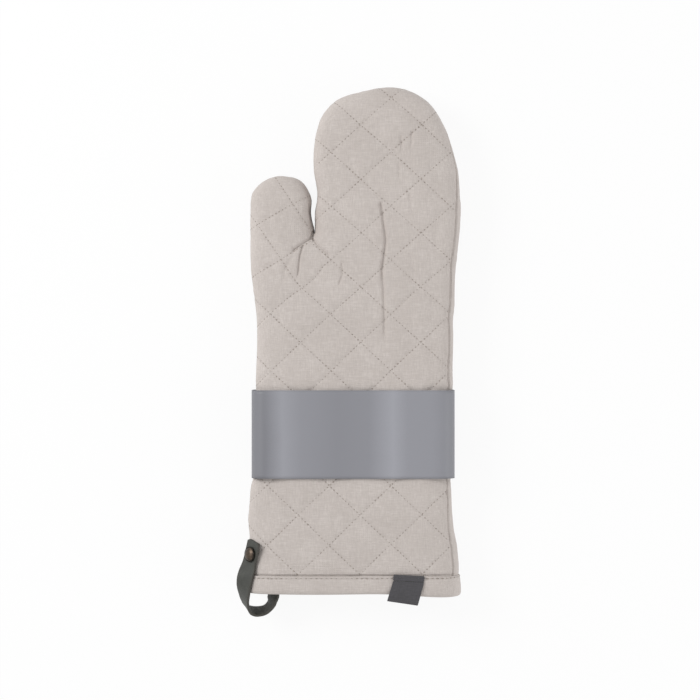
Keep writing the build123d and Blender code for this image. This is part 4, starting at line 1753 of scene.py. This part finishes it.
@mixed_once
def strap_leather(shader, finish):
    cells = shader.add("TexVoronoi", "Vector", shader.place, Scale=1500.0)
    cells.feature = "DISTANCE_TO_EDGE"
    pebble = shader.math("MULTIPLY", cells.outputs["Distance"], 1.6)
    blotch = shader.noise(shader.place, 160.0, 4.0, 0.6)
    tone = shader.weighed(blotch, 0.75, pebble, 0.3)
    dark = tinted(finish.leather, 0.72)
    light = tinted(finish.leather, 1.3)
    face = shader.ramp(tone, [(0.34, dark), (0.52, finish.leather), (0.70, light)])
    edge = shader.nodes.new("ShaderNodeAttribute")
    edge.attribute_name = "edge"
    mix = shader.nodes.new("ShaderNodeMix")
    mix.data_type = "RGBA"
    shader.links.new(edge.outputs["Fac"], mix.inputs["Factor"])
    shader.links.new(face, mix.inputs["A"])
    mix.inputs["B"].default_value = finish.leather_edge
    shader.set("Base Color", mix.outputs["Result"])
    shader.set("Roughness", shader.spread(blotch, 0.48, 0.68))
    shader.set("Specular IOR Level", 0.4)
    shader.bump(shader.weighed(pebble, 0.6, blotch, 0.5), 0.45, 0.00025)


@mixed_once
def antiqued_metal(shader, finish):
    stain = shader.noise(shader.place, 420.0, 5.0, 0.65)
    shader.set("Base Color", shader.ramp(stain, [(0.35, finish.metal), (0.72, finish.metal_worn)]))
    shader.set("Metallic", 1.0)
    shader.set("Roughness", shader.spread(stain, 0.26, 0.50))
    scratch = shader.noise(shader.stretched((900.0, 160.0, 400.0), 0.5), 1.0, 3.0, 0.5)
    shader.bump(scratch, 0.12, 0.0001)


# Dark ring of the rivet: blackened metal in its groove, and painted shade on its rim
@mixed_once
def blackened_and_shaded_rim(shader, finish):
    rubbed = tinted(finish.rim_blackening_and_shade, 3.0)
    stain = shader.noise(shader.place, 600.0, 4.0, 0.6)
    shader.set("Base Color", shader.ramp(stain, [(0.4, finish.rim_blackening_and_shade), (0.75, rubbed)]))
    shader.set("Metallic", 1.0)
    shader.set("Roughness", shader.spread(stain, 0.42, 0.6))


@mixed_once
def woven_label(shader, finish):
    yarns = weave(shader, tinted(finish.label, 0.75), finish.label, tinted(finish.label, 1.4), 2200.0)
    shader.set("Roughness", shader.spread(yarns, 0.7, 0.9))
    shader.set("Sheen Weight", 0.2)


# Painted highlights down the paper where its gentle bends would shine, and painted shade at its ends,
# darkest on the left: share of the width from the left, and brightness
PAINTED_GLOSS_STRIPES = [
    (0.00, 0.78),
    (0.06, 0.80),
    (0.15, 1.24),
    (0.24, 1.06),
    (0.42, 0.95),
    (0.58, 1.00),
    (0.70, 1.34),
    (0.77, 1.12),
    (0.89, 1.10),
    (1.00, 0.90),
]


@mixed_once
def coated_paper(shader, finish, trim):
    width = trim.band_right - trim.band_left
    axes = shader.add("SeparateXYZ", "Vector", shader.place)
    across = shader.math("DIVIDE", shader.math("SUBTRACT", axes.outputs["X"], trim.band_left), width)
    sway = shader.noise(shader.stretched((12.0, 30.0, 12.0)), 1.0, 2.0, 0.5)
    fibre = shader.noise(shader.place, 900.0, 4.0, 0.6)
    across = shader.swayed(shader.swayed(across, sway, 0.04), fibre, 0.03)
    # The paper's colour carries painted highlights and painted shade in stripes across the band
    stops = [(place, tinted(finish.paper, level)) for place, level in PAINTED_GLOSS_STRIPES]
    shader.set("Base Color", shader.ramp(across, stops))
    shader.set("Roughness", shader.spread(fibre, 0.40, 0.52))
    shader.set("Specular IOR Level", 0.4)
    shader.bump(fibre, 0.06, 0.0001)


@mixed_once
def dried_glue(shader, finish):
    smear = shader.noise(shader.place, 260.0, 3.0, 0.5)
    shader.set("Base Color", shader.ramp(smear, [(0.3, finish.glue), (0.7, finish.glue_light)]))
    shader.set("Roughness", shader.spread(smear, 0.3, 0.5))


def direct_view(nodes, links):
    """1 for what the camera sees itself or in a reflection, 0 for light that is passed on."""
    path = nodes.new("ShaderNodeLightPath")
    seen = nodes.new("ShaderNodeMath")
    seen.operation = "MAXIMUM"
    links.new(path.outputs["Is Camera Ray"], seen.inputs[0])
    links.new(path.outputs["Is Glossy Ray"], seen.inputs[1])
    return seen.outputs["Value"]


@mixed_once
def pale_floor(shader, finish):
    """Plain floor that keeps shadows, but looks nearly white to the camera and in reflections."""
    shader.set("Base Color", finish.floor)
    shader.set("Roughness", 0.9)
    shader.set("Specular IOR Level", 0.1)
    seen = direct_view(shader.nodes, shader.links)
    glow = shader.nodes.new("ShaderNodeEmission")
    glow.inputs["Strength"].default_value = 1.0
    mix = shader.nodes.new("ShaderNodeMixShader")
    shader.links.new(shader.math("MULTIPLY", seen, 0.90), mix.inputs["Fac"])
    shader.links.new(shader.surface.outputs["BSDF"], mix.inputs[1])
    shader.links.new(glow.outputs["Emission"], mix.inputs[2])
    shader.links.new(mix.outputs["Shader"], shader.nodes["Material Output"].inputs["Surface"])


# Soft light of the room, and the lamps: name, place, size and power
ROOM_LIGHT = 0.59
LAMPS = [
    ("key", (-1.25, 0.55, 1.0), 0.7, 14.0),
    ("fill", (1.4, -0.35, 0.65), 1.2, 8.2),
]
CAMERA_PLACE = (0.00055, 0.00069, 1.352)
CAMERA_LENS = 100.0
FLOOR_LEVEL = -0.0006
FLOOR_SIZE = 30.0


class MITT_OT_stage(bpy.types.Operator):
    """Pale floor, soft studio light and the camera straight above"""

    bl_idname = "mitt.stage"
    bl_label = "Stage"

    def execute(self, context):
        scene = context.scene
        scene.view_settings.view_transform = "Standard"
        self.floor(scene)
        self.world(scene)
        for name, place, size, power in LAMPS:
            self.lamp(name, Vector(place), size, power)
        camera = bpy.data.cameras.new("above")
        camera.lens = CAMERA_LENS
        camera.clip_end = 100.0
        scene.camera = in_scene("above", camera)
        scene.camera.location = CAMERA_PLACE
        return {"FINISHED"}

    def floor(self, scene):
        bm = bmesh.new()
        bmesh.ops.create_grid(bm, x_segments=8, y_segments=8, size=FLOOR_SIZE)
        bmesh.ops.translate(bm, verts=bm.verts, vec=(0.0, 0.0, FLOOR_LEVEL))
        floor = new_object("floor", bm)
        floor.data.materials.append(pale_floor(scene.mitt_finish))
        floor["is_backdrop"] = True

    def world(self, scene):
        world = bpy.data.worlds.new("soft studio")
        world.use_nodes = True
        scene.world = world
        nodes = world.node_tree.nodes
        links = world.node_tree.links
        strength = nodes.new("ShaderNodeMapRange")
        strength.inputs["To Min"].default_value = ROOM_LIGHT
        strength.inputs["To Max"].default_value = 1.0
        links.new(direct_view(nodes, links), strength.inputs["Value"])
        background = nodes["Background"]
        background.inputs["Color"].default_value = (1.0, 1.0, 1.0, 1.0)
        links.new(strength.outputs["Result"], background.inputs["Strength"])

    def lamp(self, name, place, size, power):
        """Square lamp that faces the middle of the frame."""
        light = bpy.data.lights.new(name, "AREA")
        light.size = size
        light.energy = power
        holder = in_scene(name, light)
        holder.location = place
        holder.rotation_euler = (-place).to_track_quat("-Z", "Y").to_euler()


class MITT_PT_build(bpy.types.Panel):
    """Builds the mitt piece by piece"""

    bl_idname = "MITT_PT_build"
    bl_label = "Oven Mitt"
    bl_space_type = "VIEW_3D"
    bl_region_type = "UI"
    bl_category = "Oven Mitt"

    def draw(self, context):
        for operator in OPERATORS:
            self.layout.operator(operator.bl_idname)


GROUPS = {
    "mitt_shape": MittShape,
    "mitt_quilt": QuiltWork,
    "mitt_trim": CuffAndLoop,
    "mitt_finish": MittFinish,
}
OPERATORS = [
    MITT_OT_covers,
    MITT_OT_lining,
    MITT_OT_binding,
    MITT_OT_quilting,
    MITT_OT_seam,
    MITT_OT_topstitch,
    MITT_OT_strap,
    MITT_OT_rivet,
    MITT_OT_label,
    MITT_OT_band,
    MITT_OT_stage,
]


# Seed of the noise that the sewn lines wander by, so that every run draws the same lines
WANDER_SEED = 1


def register():
    noise.seed_set(WANDER_SEED)
    for name, group in GROUPS.items():
        bpy.utils.register_class(group)
        setattr(bpy.types.Scene, name, bpy.props.PointerProperty(type=group))
    for operator in OPERATORS:
        bpy.utils.register_class(operator)
    bpy.utils.register_class(MITT_PT_build)


def unregister():
    bpy.utils.unregister_class(MITT_PT_build)
    for operator in reversed(OPERATORS):
        bpy.utils.unregister_class(operator)
    for name, group in reversed(GROUPS.items()):
        delattr(bpy.types.Scene, name)
        bpy.utils.unregister_class(group)


def main():
    register()
    for operator in OPERATORS:
        step = operator.bl_idname.removeprefix("mitt.")
        getattr(bpy.ops.mitt, step)()
    for name, box in (("cad", cad_box), ("visual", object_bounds())):
        [[float(value) for value in corner] for corner in box]


if __name__ == "__main__":
    main()
